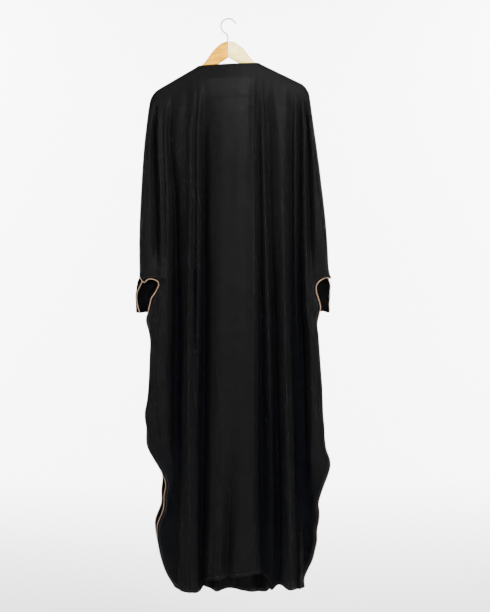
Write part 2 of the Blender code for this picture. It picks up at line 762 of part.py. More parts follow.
def hook_path():
    """The hook's wire: a bend round the origin's rail, a neck, and a straight stem."""
    turns = np.radians(np.linspace(HOOK_OPENS_AT, HOOK_CLOSES_AT, HOOK_BEND_POINTS))
    middle_z = WIRE_RADIUS - HOOK_RADIUS
    bend = np.stack([np.cos(turns), 0 * turns, np.sin(turns)], axis=-1) * HOOK_RADIUS
    bend[:, 2] += middle_z
    neck = np.array(HOOK_NECK) / 1000
    stem_z = float(arm_top_z(0.0)) + SEAM_GAP
    stem = [(neck[-1][0], 0.0, stem_z + HOOK_STEM), (neck[-1][0], 0.0, stem_z)]
    return np.concatenate([bend, neck, stem])


def build():
    """The garment and its hanger."""
    remove_everything()
    cloth = make_material("black cloth", (0.012, 0.012, 0.014), 0.62)
    tan = make_material("tan piping", (0.42, 0.27, 0.15), 0.7)
    wood = make_material("pale wood", (0.80, 0.56, 0.28), 0.45)
    steel = make_material("hook wire", (0.62, 0.62, 0.62), 0.25, 1.0)

    grid, normals = back_panel()
    wall("back", grid, normals, WALL, -WALL / 2, cloth)
    for side, column in (("left", 0), ("right", -1)):
        edge_piping("piping_back_" + side, grid, normals, column, tan)
    rows = len([share for share in UPPER_ROWS if share <= FACING_SHARE])
    neck = np.abs(grid[0, :, 0]) < NECK_FREE - NECK_TURN
    facing_lift = -WALL / 2 - SEAM_GAP - FACING_WALL
    facing = grid[:rows, neck], normals[:rows, neck]
    wall("neck_facing", *facing, FACING_WALL, facing_lift, cloth)

    for side, word in ((-1, "left"), (1, "right")):
        grid, normals = front_panel(side)
        wall("front_" + word, grid, normals, WALL, -WALL / 2, cloth)
        band_rows = slice(BAND_TOP_ROW, None)
        band = grid[band_rows, -BAND_COLUMNS:], normals[band_rows, -BAND_COLUMNS:]
        wall("front_band_" + word, *band, FACING_WALL, WALL / 2 + SEAM_GAP, cloth)
        edge_piping("piping_front_" + word, grid, normals, 0, tan)

    for word, side, rows, depth_y, seam in (
        ("left", -1, CUFF_LEFT, CUFF_LEFT_DEPTH, CUFF_SEAM_LEFT),
        ("right", 1, CUFF_RIGHT, CUFF_RIGHT_DEPTH, CUFF_SEAM_RIGHT),
    ):
        _, outer = cuff("cuff_" + word, rows, side, depth_y, cloth)
        cuff_seam("cuff_piping_" + word, outer, seam, tan)

    hanger_arm("hanger_left", -1, wood)
    hanger_arm("hanger_right", 1, wood)
    bar = (bar_end(-BAR_HALF), bar_end(0.0), bar_end(BAR_HALF))
    tube("hanger_bar", bar, BAR_RADIUS, BAR_SIDES, wood)
    tube("hanger_hook", hook_path(), WIRE_RADIUS, WIRE_SIDES, steel)


build()
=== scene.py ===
"""A black butterfly abaya on a wooden hanger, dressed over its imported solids.

Metres, +Z up. The origin is the underside of the top of the hook's bend. The garment's back
faces -Y and its front +Y. Left and right are those of the view of the back.

Every cloth panel is a height over the X-Z plane, worked out from the hanger's line, the
depth of the hanging body and a table of upright folds, and sampled on a grid of rows that
run from edge to edge. Two such grids, a cloth's thickness apart, make one closed wall.
"""

import math

import bpy
import numpy as np
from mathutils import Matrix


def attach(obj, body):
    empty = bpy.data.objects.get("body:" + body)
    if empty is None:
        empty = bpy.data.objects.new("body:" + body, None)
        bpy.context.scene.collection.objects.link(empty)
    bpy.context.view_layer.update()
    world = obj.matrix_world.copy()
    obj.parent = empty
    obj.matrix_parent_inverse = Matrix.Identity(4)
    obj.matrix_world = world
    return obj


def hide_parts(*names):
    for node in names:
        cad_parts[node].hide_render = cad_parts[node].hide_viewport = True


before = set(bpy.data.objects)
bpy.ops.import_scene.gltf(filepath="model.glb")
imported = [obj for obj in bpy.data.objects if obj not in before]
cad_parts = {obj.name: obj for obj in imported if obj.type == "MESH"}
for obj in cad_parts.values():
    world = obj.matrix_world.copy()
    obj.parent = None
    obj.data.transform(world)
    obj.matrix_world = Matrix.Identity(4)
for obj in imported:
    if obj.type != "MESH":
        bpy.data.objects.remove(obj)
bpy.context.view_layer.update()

# Cloth
CLOTH = 0.0005  # thickness
FACING = 0.0004  # thickness of the neck facing and the front bands
SEAM_GAP = 0.0001

# The line over the hanger
HANGER_TILT = math.tan(math.radians(2.8))
NECK_HALF = 0.083
NECK_Z = -0.1202
SHOULDER_SLOPE = 0.505
SHOULDER_BEND_X = 0.187
SHOULDER_BEND = 0.021
SHOULDER_BEND_DROP = 0.009
SHOULDER_BEND_LIMIT = 1.12
SHOULDER_LEFT_X = -0.2106
SHOULDER_RIGHT_X = 0.2170
SHOULDER_RIGHT_LATER = 0.005
CONTOUR = 0.15
CONTOUR_REACH = 0.24
CONTOUR_ROUND = 0.06
CONTOUR_KEPT_LOW = 0.4
CONTOUR_EASES_AT = -0.25
CONTOUR_EASES_OVER = 0.5
WRIST_Z = -0.690

# Depth of the hanging body
ARM_CLEARANCE = 0.0095
ROUND_OVER_ARM = 0.014
BACK_DEPTH = 0.015
FRONT_DEPTH = 0.045
BACK_FILLS_BY = 0.2
FRONT_FILLS_BY = 0.18
EDGE_ROUND = 0.018
EDGE_STANDS_IN = 0.0015
STANDS_IN_OVER = 0.01
EDGE_LIES_FLAT = 0.022
LIES_FLAT_OVER = 0.008
FOLD_CLOSES_IN = 0.25
SEAM_EVENS_OVER = 0.006
FOLDS_START = 0.012
FOLDS_FULL = 0.1
FRONT_FOLDS_START = 0.07
FRONT_FOLDS_FULL = 0.12
NECK_FREE = 0.088
NECK_TURN = 0.012
NECK_STANDS_OFF = 0.0015
FRONT_OVERLAP_STEP = 0.002
OVERLAP_REACH = 0.06

# Grids
BACK_COLUMNS = 234
FRONT_COLUMNS = 150
BAND_COLUMNS = 9
BAND_TOP_ROW = 1
SIDE_CROWDING = 0.45
UPPER_ROWS = 45
UPPER_CROWDING = 1.54
FACING_ROWS = 9
LIP_START_Z = -0.674
LOWER_STEPS = (  # how many rows, and the step between them
    (52, 0.0005),
    (14, 0.001),
    (20, 0.0023),
    (18, 0.004),
    (52, 0.0119),
)
CLOSING_ROWS = 9
CALM_REACH = 0.05
CALM_POINTS = 21
SHIFT_REACH = 0.12
LIFT_REACH = 0.008
SEAM_SLACK = 0.0005
EDGE_STEP = 0.0012  # between the points of a finished edge
RUMPLE = (
    # height, waves per metre along X, waves per metre along Z, start
    (0.00020, 21.0, 3.1, 0.4),
    (0.00014, 33.0, -4.7, 1.9),
    (0.00018, 12.0, 9.2, 3.1),
    (0.00006, 47.0, 8.3, 5.2),
    (0.00008, 8.0, -23.0, 2.6),
)
RUMPLE_BEND = (0.6, 1.1, 2.3)  # radians, waves per metre along X and along Z

# Side edges that roll under, and those that flare out
ROLL_RADIUS = 0.006
ROLL_WIDTH = 0.016
ROLL_TURN = math.radians(70)
ROLL_REACH = 0.06
FLARE = 0.012
FLARE_REACH = 0.05

# Side edges in millimetres: (level, x), (level, x, roll) or (level, x, roll, z). level is the
# height at which the row runs inside the panel; x and z are where its end lies, z at the
# level where it isn't given; roll is how far the edge turns under (1) or out (-1). An edge
# runs down the wing's seam, in and round the wrist opening, and down the open side.
BACK_LEFT_EDGE = (
    (-206, -210), (-215, -213), (-225, -214.8), (-240, -217), (-280, -222.6), (-321, -227.6),
    (-361, -231.1), (-402, -233.8), (-443, -236), (-484, -238), (-525, -239.7), (-566, -241),
    (-606, -241.4), (-646, -240.9, 0, -649), (-668, -240.5, 0, -674), (-680.5, -240.6, 0, -688),
    (-682, -240.6, 0, -690), (-684, -234.5, 0, -699), (-686, -226.5, 0, -706.7),
    (-688, -221, 0, -701.5), (-690, -215.5, 0, -697.8), (-692.5, -205.3, 0, -697.2),
    (-696.5, -193.7, 0, -700.7), (-701.5, -187.6, 0, -705.5), (-709, -185.4, 0, -711.5),
    (-726.6, -190.2), (-739.3, -197.2), (-748.4, -204.2), (-763.2, -208.7), (-780.4, -213.3),
    (-807, -221), (-828, -219.5, 0.4), (-863, -211, 1), (-903, -212, 1), (-943, -213.4, 1),
    (-984, -215.3, 1), (-1024, -219, 1), (-1064, -226.5, 0.9), (-1105, -223, 0.5),
    (-1132, -221, 0.1), (-1149, -217.8, -0.1), (-1186, -198, -0.2), (-1219, -178.4, -0.3),
    (-1251, -167, -0.4), (-1281, -172, -0.3), (-1308, -172.5, -0.3), (-1331, -178.4, -0.2),
    (-1354, -188.7, -0.1), (-1381, -191.4), (-1421, -187), (-1457, -178.4), (-1495, -163.5),
    (-1527, -143.2),
)
BACK_RIGHT_EDGE = (
    (-188, 214), (-200, 216.5), (-208, 218), (-225, 220.2), (-240, 222.4), (-280, 228.2),
    (-321, 233.9), (-361, 239.4), (-402, 244.6), (-443, 249.3), (-484, 253.7), (-525, 258.4),
    (-566, 262.2), (-606, 264.7), (-646, 266.8, 0, -649), (-668, 268.4, 0, -674),
    (-680.5, 271.9, 0, -688), (-682, 272.5, 0, -690), (-685, 273.5, 0, -696.4),
    (-689, 262.5, 0, -693.6), (-693, 252.6, 0, -696.4), (-698, 244.5, 0, -700.4),
    (-705, 237.5, 0, -706.6), (-714, 232.4, 0, -714.8), (-726.4, 231.3), (-737.7, 232.9),
    (-749.3, 237), (-761, 240.5), (-772.6, 243.2), (-780, 243.2), (-790, 241),
    (-807, 238.2, 0.2), (-828, 239.1, 0.7), (-852, 240.2, 1), (-903, 243.7, 1), (-944, 246.6, 1),
    (-984, 249.6, 1), (-1025, 251.2, 1), (-1065, 253.4, 0.9), (-1106, 258.2, 0.7),
    (-1133, 259.2, 0.5), (-1160, 262, 0.3), (-1187, 270.4, 0.1), (-1200, 270.9), (-1227, 264.2),
    (-1254, 253.9), (-1281, 244.5), (-1308, 238.5), (-1322, 241), (-1349, 240.1), (-1376, 234.7),
    (-1403, 235), (-1430, 229.3), (-1457, 222), (-1484, 208.6), (-1511, 199.7), (-1524, 201.3),
)
FRONT_LEFT_EDGE = (
    (-206, -210), (-225, -214.8), (-280, -222.6), (-361, -231.1), (-443, -236), (-525, -239.7),
    (-606, -241.4), (-668, -240.5, 0, -674), (-680.5, -240.6, 0, -688), (-682, -240.6, 0, -690),
    (-686, -229.5, 0, -699), (-690, -218.5, 0, -697), (-695, -206, 0, -699),
    (-703, -197.5, 0, -706), (-728, -191.5), (-748, -198), (-780, -208), (-807, -212.5, 0.1),
    (-863, -206, 0.3), (-950, -208.5, 0.3), (-1040, -215.5, 0.3), (-1120, -217, 0.2),
    (-1172, -203.5), (-1207, -186), (-1226, -179), (-1270, -181), (-1310, -182.5),
    (-1331, -191.5), (-1354, -198.5), (-1378, -197), (-1421, -189.5), (-1454, -180.5),
    (-1492, -166), (-1527, -145),
)
FRONT_RIGHT_EDGE = (
    (-188, 214), (-208, 218), (-240, 222.4), (-280, 228.2), (-361, 239.4), (-443, 249.3),
    (-525, 258.4), (-606, 264.7), (-668, 268.4, 0, -674), (-680.5, 271.9, 0, -688),
    (-682, 272.5, 0, -690), (-687, 264.5, 0, -695), (-692, 253.5, 0, -696), (-698, 243, 0, -701),
    (-706, 235, 0, -708), (-728, 230), (-748, 232), (-780, 237), (-807, 233, 0.2),
    (-863, 236, 0.3), (-950, 242, 0.3), (-1040, 247, 0.3), (-1120, 254, 0.2), (-1172, 262),
    (-1207, 263), (-1250, 249), (-1280, 242), (-1310, 236), (-1350, 234), (-1400, 230),
    (-1454, 217), (-1492, 201), (-1527, 199),
)
LEFT_FURTHER = -0.0006  # added to every x of the left edges, in metres
RIGHT_FURTHER = 0.003

# Hems, in millimetres along X and Z
BACK_HEM = (
    (-143, -1529), (-130, -1534), (-118, -1538), (-100, -1538), (-84, -1541), (-75, -1537),
    (-68, -1525), (-62, -1511), (-50, -1506), (-28, -1504), (-12, -1500), (16, -1497),
    (50, -1494), (86, -1493), (94, -1500), (104, -1514), (112, -1533), (133, -1524),
    (144, -1524), (156, -1530), (174, -1533), (201, -1530),
)
FRONT_HEM = (
    (-145, -1526), (-110, -1531), (-66, -1533), (-52, -1543), (-38, -1550), (-16, -1543),
    (12, -1541), (30, -1546), (50, -1547), (74, -1552), (98, -1549), (117, -1538), (160, -1528),
    (199, -1518),
)

# Centre front edges, in millimetres: height, then X of the left and of the right front
FRONT_EDGES = (
    (-124, -82, 81), (-165, -59, 68), (-207, -49, 56), (-265, -28, 36), (-317, -11, 19),
    (-370, 6, 2), (-420, 14, -6), (-500, 16, -6), (-1024, 19, 0), (-1550, 21, 3),
)

# Folds of the back: a row for each crest or hollow, with X and relief in millimetres at
# each of the heights. Relief is positive towards the viewer of the back.
BACK_HEIGHTS = (-0.193, -0.300, -0.488, -0.755, -1.023, -1.290, -1.477)
BACK_FOLDS = (
    # name, (X at the seven heights), (relief at the seven heights)
    ("left crown", (-204, -212, -214, -206, -207, -176, -160), (5, 9, 8, 6, 5, -9, -8)),
    ("left sleeve crease", (-195, -200, -194, -191, -194, -168, -155),
     (-6, -9, -6, 6, 6, -10, -7)),
    ("left inner sleeve", (-186, -189, -182, -181, -183, -161, -150),
     (10, 12, 13, 12, 11, -11, -7)),
    ("left sleeve nick", (-176, -178, -173, -174, -175, -155, -146), (8, 7, 7, 10, 9, -12, -7)),
    ("left sleeve ridge", (-167, -170, -165, -168, -168, -150, -141), (10, 11, 12, 8, 4, -11, -6)),
    ("left outer hollow", (-151, -160, -145, -139, -140, -141, -136),
     (1, -4, -14, -20, -20, -13, -4)),
    ("left low ridge", (-130, -138, -131, -128, -128, -128, -128), (8, 4, -5, -12, -13, -6, 8)),
    ("left dip", (-112, -116, -114, -114, -115, -115, -117), (4, 3, 4, 8, 7, 5, 7)),
    ("left main fold", (-90, -99, -102, -104, -106, -104, -103), (13, 14, 17, 19, 18, 17, 16)),
    ("left slit", (-84, -91, -91, -93, -94, -93, -92), (9, 4, 2, -9, -1, 4, 6)),
    ("left small fold", (-77, -83, -82, -83, -84, -84, -84), (11, 11, 11, 0, -7, -5, -2)),
    ("left deep hollow", (-62, -66, -66, -65, -67, -72, -75), (2, -6, -15, -20, -21, -20, -15)),
    ("left of the centre", (-40, -42, -44, -45, -46, -48, -52), (8, 3, 0, -3, -3, -1, 2)),
    ("centre left", (-19, -14, -17, -19, -19, -20, -26), (11, 12, 12, 12, 12, 13, 12)),
    ("centre", (4, 5, 5, 5, 6, 4, -4), (12, 12, 11.5, 11.5, 10, -2, -5)),
    ("centre right", (30, 28, 24, 35, 38, 32, 24), (12, 12.5, 12, 12, 12, 13, 12)),
    ("right dip", (50, 52, 44, 50, 50, 50, 46), (8, 9, 10, 10, 10, 10, 9)),
    ("right edge of centre", (68, 66, 68, 67, 65, 64, 68), (12, 13, 13, 12, 12, 12, 12)),
    ("right deep hollow", (79, 79, 82, 85, 88, 90, 93), (4, -5, -8, -14, -18, -19, -15)),
    ("right small fold", (88, 92, 97, 106, 113, 116, 117), (7, 6, 8, 2, -6, -10, -10)),
    ("right second hollow", (100, 104, 109, 120, 128, 135, 134), (1, -6, -8, -15, -18, -20, -15)),
    ("right main fold", (125, 137, 145, 151, 157, 163, 165), (10, 13, 16, 18, 19, 19, 17)),
    ("right fold's side", (155, 153, 156, 161, 168, 174, 177), (11, 11, 8, 0, -1, 0, 5)),
    ("right slit", (174, 169, 169, 171, 179, 184, 186), (2, -5, -9, -14, -17, -16, -4)),
    ("right thin fold", (182, 181, 180, 182, 190, 197, 193), (6, 4, 2, -9, -17, -18, 8)),
    ("right outer hollow", (190, 191, 191, 195, 202, 211, 206), (0, -8, -12, -18, -19, -17, -12)),
    ("right inner sleeve", (200, 204, 205, 210, 221, 226, 216), (9, 13, 13, 14, 13, -9, -12)),
    ("right sleeve crease", (206, 213, 217, 225, 234, 233, 221), (-6, -7, -9, 7, 6, -6, -9)),
    ("right crown", (214, 223, 235, 237, 246, 242, 226), (5, 9, 9, 6, 5, -3, -4)),
)
HOLLOWS_DEEPEN = 1.2
SLEEVE_CREASE = -0.009
CREASE_END = (-0.58, -0.69)

# Folds of a front: share of the way in from a plain line near the side to the centre
# front, then relief in millimetres at four heights, positive towards the front. The plain
# line is given by its heights in metres and each front's X in millimetres.
FRONT_FOLDS_RUN = (-0.2, -0.65, -0.85, -1.1, -1.35, -1.55)
FRONT_FOLDS_RUN_LEFT = (-212, -240, -224, -213, -190, -164)
FRONT_FOLDS_RUN_RIGHT = (217, 267, 248, 250, 238, 208)
FRONT_HEIGHTS = (-0.25, -0.70, -1.16, -1.495)
FRONT_FOLDS_LEFT = (
    # name, share, (relief at the four heights)
    ("crown", 0.07, (8, 8, 6, 3)),
    ("sleeve crease", 0.15, (-12, -8, 0, 0)),
    ("side fold", 0.24, (12, 14, 14, 8)),
    ("side nick", 0.28, (8, 9, 9, 5)),
    ("side hollow", 0.35, (-10, -15, -16, -12)),
    ("outer fold", 0.47, (12, 15, 16, 14)),
    ("outer nick", 0.52, (3, 7, 10, 11)),
    ("outer hollow", 0.58, (-10, -16, -16, -12)),
    ("inner fold", 0.70, (8, 13, 15, 14)),
    ("inner hollow", 0.84, (-2, -12, -14, -8)),
    ("edge", 1.0, (0, 2, 3, 4)),
)
FRONT_FOLDS_RIGHT = (
    # name, share, (relief at the four heights)
    ("crown", 0.06, (8, 8, 6, 3)),
    ("sleeve crease", 0.13, (-12, -8, 0, 0)),
    ("side fold", 0.22, (11, 15, 14, 6)),
    ("side hollow", 0.31, (-10, -14, -15, -10)),
    ("side low ridge", 0.36, (0, -7, -5, 2)),
    ("outer fold", 0.43, (12, 16, 16, 14)),
    ("outer hollow", 0.56, (-8, -16, -15, -14)),
    ("inner nick", 0.62, (2, 4, 2, 0)),
    ("inner fold", 0.68, (7, 12, 16, 12)),
    ("inner hollow", 0.82, (-4, -13, -12, -12)),
    ("edge", 1.0, (0, 2, 3, 4)),
)
FRONTS = {
    # side: folds, side edge, its shift, shoulder's end, plain line, column of the centre edge
    -1: (FRONT_FOLDS_LEFT, FRONT_LEFT_EDGE, LEFT_FURTHER, SHOULDER_LEFT_X,
         FRONT_FOLDS_RUN_LEFT, 1),
    1: (FRONT_FOLDS_RIGHT, FRONT_RIGHT_EDGE, RIGHT_FURTHER, SHOULDER_RIGHT_X,
        FRONT_FOLDS_RUN_RIGHT, 2),
}

# Small creases, in millimetres: X and Z at one end, X and Z at the other, half width, and
# height, positive for a ridge. Each fades at its ends.
BACK_CREASES = (
    (197, -1395, 202, -1496, 3.5, 3), (-124, -1310, -133, -1524, 3.6, 4.2),
    (-146, -1380, -150, -1500, 4, -1.4), (4, -1130, -3, -1510, 7.5, -3.4),
    (-30, -1330, -46, -1505, 7, -1.6), (34, -1280, 30, -1500, 7, 1.6),
    (52, -1180, 48, -1480, 8, 1.2), (-148, -176, -160, -330, 5, -1.6),
    (-122, -158, -132, -300, 6, 1.6), (-104, -146, -112, -260, 4, -1.2),
    (-66, -150, -70, -250, 5, 1.2), (86, -132, 94, -240, 5, 1.4),
    (140, -150, 152, -290, 6, -1.5), (112, -142, 120, -270, 5, -1.4),
    (-222, -700, -212, -580, 6, 1.6), (-206, -696, -199, -620, 4, -1.4),
    (-186, -722, -170, -830, 6, -1.8), (258, -696, 250, -590, 6, 1.6),
    (246, -700, 240, -620, 4, -1.3), (235, -750, 222, -860, 6, -1.8),
    (-208, -1170, -176, -1060, 9, -1.8), (262, -1180, 238, -1080, 9, -1.8),
    (-180, -1330, -152, -1270, 8, -1.4), (232, -1380, 214, -1280, 8, -1.4),
)
FRONT_CREASES = (
    (-150, -190, -168, -340, 4, -2), (-108, -170, -118, -320, 5, 2),
    (118, -160, 128, -320, 5, 2), (158, -178, 172, -330, 4, -2), (-60, -240, -70, -420, 6, -1.6),
    (62, -240, 74, -430, 6, -1.6), (-30, -640, -36, -1000, 8, 1), (36, -700, 44, -1100, 8, 1),
    (-216, -704, -208, -620, 4, 2), (246, -704, 240, -620, 4, 2),
    (-90, -1300, -104, -1500, 6, -2.2), (-40, -1340, -30, -1520, 5, 2),
    (92, -1300, 100, -1500, 6, -2.2), (48, -1360, 40, -1520, 5, 2),
    (-196, -1190, -168, -1120, 6, -2), (250, -1200, 230, -1110, 6, -2),
    (-170, -1440, -140, -1380, 6, 1.8), (206, -1440, 176, -1390, 6, 1.8),
)

# Inner cuffs: height, outermost X, half width, half depth, all in millimetres
CUFF_LEFT = (
    (-668, -238, 38, 11), (-690, -242, 40, 12), (-701, -247, 42, 13), (-712, -249.6, 43.5, 14),
    (-725, -251.8, 45, 15), (-740, -253, 45.5, 15), (-757, -252.6, 45, 14.5),
    (-772, -251, 44, 13), (-785, -250, 43, 12),
)
CUFF_RIGHT = (
    (-668, 267, 28, 13), (-690, 270.5, 29.5, 14), (-701, 274.5, 31, 15), (-712, 276, 32, 16.5),
    (-725, 275.6, 32, 17.5), (-740, 274.2, 32, 18), (-757, 273, 31.5, 17.5),
    (-772, 272.6, 31, 16), (-785, 272.8, 30.5, 15),
)
CUFF_RINGS = 64
CUFF_SIDES = 112
CUFF_SLANT = 0.12  # how far the end hangs lower on the outer side, to a length across
CUFF_LEFT_DEPTH = 0.0105
CUFF_RIGHT_DEPTH = 0.0138
CUFF_WAVES = (
    # height, waves round the cuff, turn along it, start, how fast the waves grow
    (0.0011, 5, 2.5, 1.2, 1.6),
    (0.0006, 9, -3.0, 0.5, 1.4),
)
CUFF_SWAY = (0.0004, 2, 22)  # height, waves round the cuff, turn along it
CUFF_DRAWN_IN = 0.0012
CUFF_END_WAVES = (0.0016, 3, 0.8)  # height, waves round the cuff, start
CUFF_HEM = 0.016
CUFF_HEM_THICKER = 0.8
CUFF_SEAM_LEFT = (232, 232, 230, 224, 216, 208, 207, 212, 220)  # degrees round the sections
CUFF_SEAM_RIGHT = (332, 332, 335, 341, 347, 350, 350, 350, 350)
CUFF_SEAM_SKIPS = 12

# Trim
PIPING_RADIUS = 0.00115
PIPING_GAP = 0.0002
PIPING_SIDES = 8
TUBE_END = 0.25  # radius of a tube's last ring, as a share
PIPING_STARTS_ABOVE = 0.001  # over the wrist point
PIPING_STEPS = (0.0009, 0.0016)  # along the edge, then along the piping
CUFF_PIPING_STEP = 0.0014
BAND_WIDTH = 0.019

# Hanger
ARM_SECTIONS = 96
ARM_SIDES = 40
ARM_CROWDING = 0.9
ARM_REACH = 0.198
ARM_MIDDLE_GAP = 0.0003
ARM_THICKNESS = 0.015
ARM_UNDER_Z = -0.103
ARM_UNDER_SLOPE = 0.56
ARM_UNDER_CLOTH = 0.0013
ARM_DIP = 0.0025
ARM_DIP_REACH = 0.014
ARM_HEEL = 0.01
ARM_HEEL_X = (0.11, 0.17)
ARM_HEEL_ENDS_X = (0.178, 0.198)
ARM_SQUARENESS = 2.6
ARM_TIP_ROUND = 0.009
ARM_TIP_LEAST = 0.2  # share of the section that the tip keeps
ARM_RIM = 0.0006  # the rounding beside the middle gap
ARM_RIM_SHARE = 0.015
BAR_RADIUS = 0.004
BAR_SIDES = 20
BAR_Z = -0.205
BAR_Y = 0.0255
BAR_HALF = 0.18
BAR_STEP = 0.002
# The bare middle's top, in millimetres: distance from the middle, and height
ARCH = (
    (-8, -60), (0, -59.4), (8, -60), (16.6, -62.4), (24.7, -67), (33, -73.4), (41.4, -81.6),
    (49.5, -91.7), (59, -104.6), (68, -114.5), (76, -119.9), (83, -124.2), (90, -127.5),
)
HOOK_RADIUS = 0.0203
HOOK_OPENS_AT = 15  # degrees round the bend
HOOK_CLOSES_AT = 248
HOOK_NECK = ((-5.6, 0, -39.0), (-3.4, 0, -42.5), (-2.2, 0, -47.0))
HOOK_SINKS = 0.004  # how far the stem goes into the wood
HOOK_POINTS = 60
HOOK_STEP = 0.0009
WIRE_RADIUS = 0.0018
WIRE_SIDES = 18

# Finishes: colours are red, green, blue and alpha
CLOTH_DARK = (0.0033, 0.0033, 0.0035, 1.0)
CLOTH_LIGHT = (0.0056, 0.0056, 0.0058, 1.0)
# Painted shade in the folds' hollows: its colour, and the relief over which it fades in
CLOTH_PAINTED_SHADE = (0.0012, 0.0014, 0.0021, 1.0)
PAINTED_SHADE_FROM_TO = (-0.022, 0.004)  # relief of the darkest hollow and of the open cloth
CLOTH_SHEEN = 0.006
CLOTH_SPECULAR = 0.02
CLOTH_ROUGHNESS = 0.5
SHEER_ALPHA = 0.965
LESS_SHEER_BELOW = 0.016
SHEER_FROM_TO = (-0.30, -0.15)
# The cuffs' colours, far darker than the garment's cloth: painted shade inside the sleeves'
# openings
CUFF_PAINTED_SHADE_DARK = (0.0004, 0.0004, 0.0005, 1.0)
CUFF_PAINTED_SHADE_LIGHT = (0.0012, 0.0012, 0.0015, 1.0)
THREAD = 0.00042
THREAD_COLOUR = (0.014, 0.014, 0.017, 1.0)
HEM_TURN = (0.0085, 0.0093)  # where the step of an edge's turning starts and ends
TURNING_RISE = 0.00018
STITCH_LINE = 0.0078  # distance of the stitches from the edge
STITCH_GROOVE = (0.0002, 0.0009)  # half width of the groove's floor and of the whole groove
STITCH_DEPTH = 0.00022
STITCH_RISE = 0.00024
STITCH = 0.0034  # length of a stitch with its gap
STITCH_STARTS = (0.0001, 0.0004)
STITCH_ENDS = (0.00272, 0.00323)
CUFF_GROOVE = (0.0002, 0.001)
CUFF_GROOVE_DEPTH = 0.0003
CUFF_RIB = 0.003
PIPING_RIB = 0.0009
PIPING_CORD = 0.0052
TAN_DARK = (0.15, 0.088, 0.045, 1.0)
TAN_LIGHT = (0.33, 0.21, 0.125, 1.0)
# The hanger's halves are lit and shaded copies of one pale wood: painted shade on the left,
# painted light on the right and on the bar
WOOD_PAINTED_SHADE = ((0.55, 0.22, 0.0, 1.0), (0.88, 0.42, 0.0, 1.0))  # dark and light grain
WOOD_PAINTED_LIGHT = ((1.0, 0.70, 0.16, 1.0), (1.0, 0.90, 0.42, 1.0))
GRAIN_LEAN = math.radians(28)
WIRE_BRIGHT = (0.34, 0.34, 0.34, 1.0)
WIRE_DULL = (0.05, 0.05, 0.055, 1.0)
FLOOR_COLOUR = (0.90, 0.90, 0.90, 1.0)
FLOOR_COLOUR_TOO = (0.92, 0.92, 0.92, 1.0)

# The set
VIEW_X = 0.0444
VIEW_Z = -0.7712
VIEW_HALF_HEIGHT = 0.8231
CAMERA_DISTANCE = 3.5
FLOOR_Z = -1.85
FLOOR_REACH = 7.0
COVE_ROUND = 2.2
WALL_HEIGHT = 4.5
FLOOR_SIDES = 96
FLOOR_RINGS = 8
COVE_RINGS = 14
ROOM_COLOUR = (0.97, 0.98, 1.0)
ROOM_LIGHT = 0.8
LAMPS = (
    # name, place, aim, size, power, colour
    ("key light", (0.8, -1.8, 0.6), (0.0, 0.0, 0.0), 0.8, 122, (1.0, 0.98, 0.96)),
    ("fill light", (-1.6, -2.2, 1.0), (-0.2, 0.0, -0.2), 1.2, 27, (0.97, 0.98, 1.0)),
    ("front light", (0.4, 3.0, 1.0), (0.0, 0.0, -0.7), 1.8, 60, (1.0, 0.99, 0.97)),
    ("left wall light", (-3.2, 4.0, 1.6), (-0.6, 7.0, -0.2), 2.0, 900, (1.0, 1.0, 1.0)),
    ("right wall light", (3.2, 4.0, 1.6), (0.6, 7.0, -0.2), 2.0, 900, (1.0, 1.0, 1.0)),
)


def smooth_step(t):
    """0 below 0, 1 above 1, and a smooth rise between."""
    t = np.clip(t, 0.0, 1.0)
    return t * t * (3 - 2 * t)


def quarter_round(t):
    """The rise of a quarter circle, from 0 at t = 0 to 1 at t = 1 and beyond."""
    t = np.clip(t, 0.0, 1.0)
    return np.sqrt(1 - (1 - t) ** 2)


def curve_through(knots, values, at):
    """A smooth curve through the values at the knots, level with them beyond the ends.

    Between two knots it is the cubic whose slope at each is that of the line joining its
    neighbours.
    """
    order = np.argsort(knots)
    knots = np.asarray(knots, float)[order]
    values = np.asarray(values, float)[order]
    slopes = np.gradient(values, knots)
    at = np.clip(at, knots[0], knots[-1])
    k = np.clip(np.searchsorted(knots, at, side="right") - 1, 0, len(knots) - 2)
    span = knots[k + 1] - knots[k]
    t = (at - knots[k]) / span
    rise = smooth_step(t)
    start = t * (1 - t) ** 2 * span * slopes[k]
    end = -t * t * (1 - t) * span * slopes[k + 1]
    return values[k] * (1 - rise) + values[k + 1] * rise + start + end


def unit(vectors):
    """Vectors of length one."""
    return vectors / np.maximum(np.linalg.norm(vectors, axis=-1, keepdims=True), 1e-12)


def run_length(path):
    """Length along a path up to each of its points."""
    steps = np.linalg.norm(np.diff(path, axis=0), axis=1)
    return np.concatenate([[0.0], np.cumsum(steps)])


# The hanging cloth

def shoulder_z(x):
    """Height of the line over the hanger: the neck edge, the slope and the rounded end."""
    out = np.abs(x)
    slope = NECK_Z - SHOULDER_SLOPE * np.maximum(out - NECK_HALF, 0)
    bend_x = SHOULDER_BEND_X + np.where(x > 0, SHOULDER_RIGHT_LATER, 0.0)
    past = np.clip((out - bend_x) / SHOULDER_BEND, 0, SHOULDER_BEND_LIMIT)
    return slope - SHOULDER_BEND_DROP * past**3 + x * HANGER_TILT


def middle_y(x, z):
    """Where the middle of the hung garment lies.

    It follows the hanger's swept arms, and runs round the angle between them.
    """
    eased = smooth_step((CONTOUR_EASES_AT - z) / CONTOUR_EASES_OVER)
    kept = 1 - (1 - CONTOUR_KEPT_LOW) * eased
    out = np.abs(x)
    out = np.where(out < CONTOUR_ROUND, (out**2 / CONTOUR_ROUND + CONTOUR_ROUND) / 2, out)
    return CONTOUR * np.minimum(out, CONTOUR_REACH) * kept


def edge_curves(rows, mirror=1, further=0.0):
    """A table of an edge as four columns: level, X, height above the level, and roll.

    A row that gives no roll has none, and one that gives no Z ends at its own level.
    """
    rows = [(*row, *(0, row[0])[len(row) - 2:]) for row in rows]
    level, x, roll, z = np.array(rows, float).T
    return level / 1000, (x / 1000 + further) * mirror, (z - level) / 1000, roll


def read_edge(edge, column, level):
    """A column of an edge's table at the given levels."""
    return curve_through(edge[0], edge[column], level)


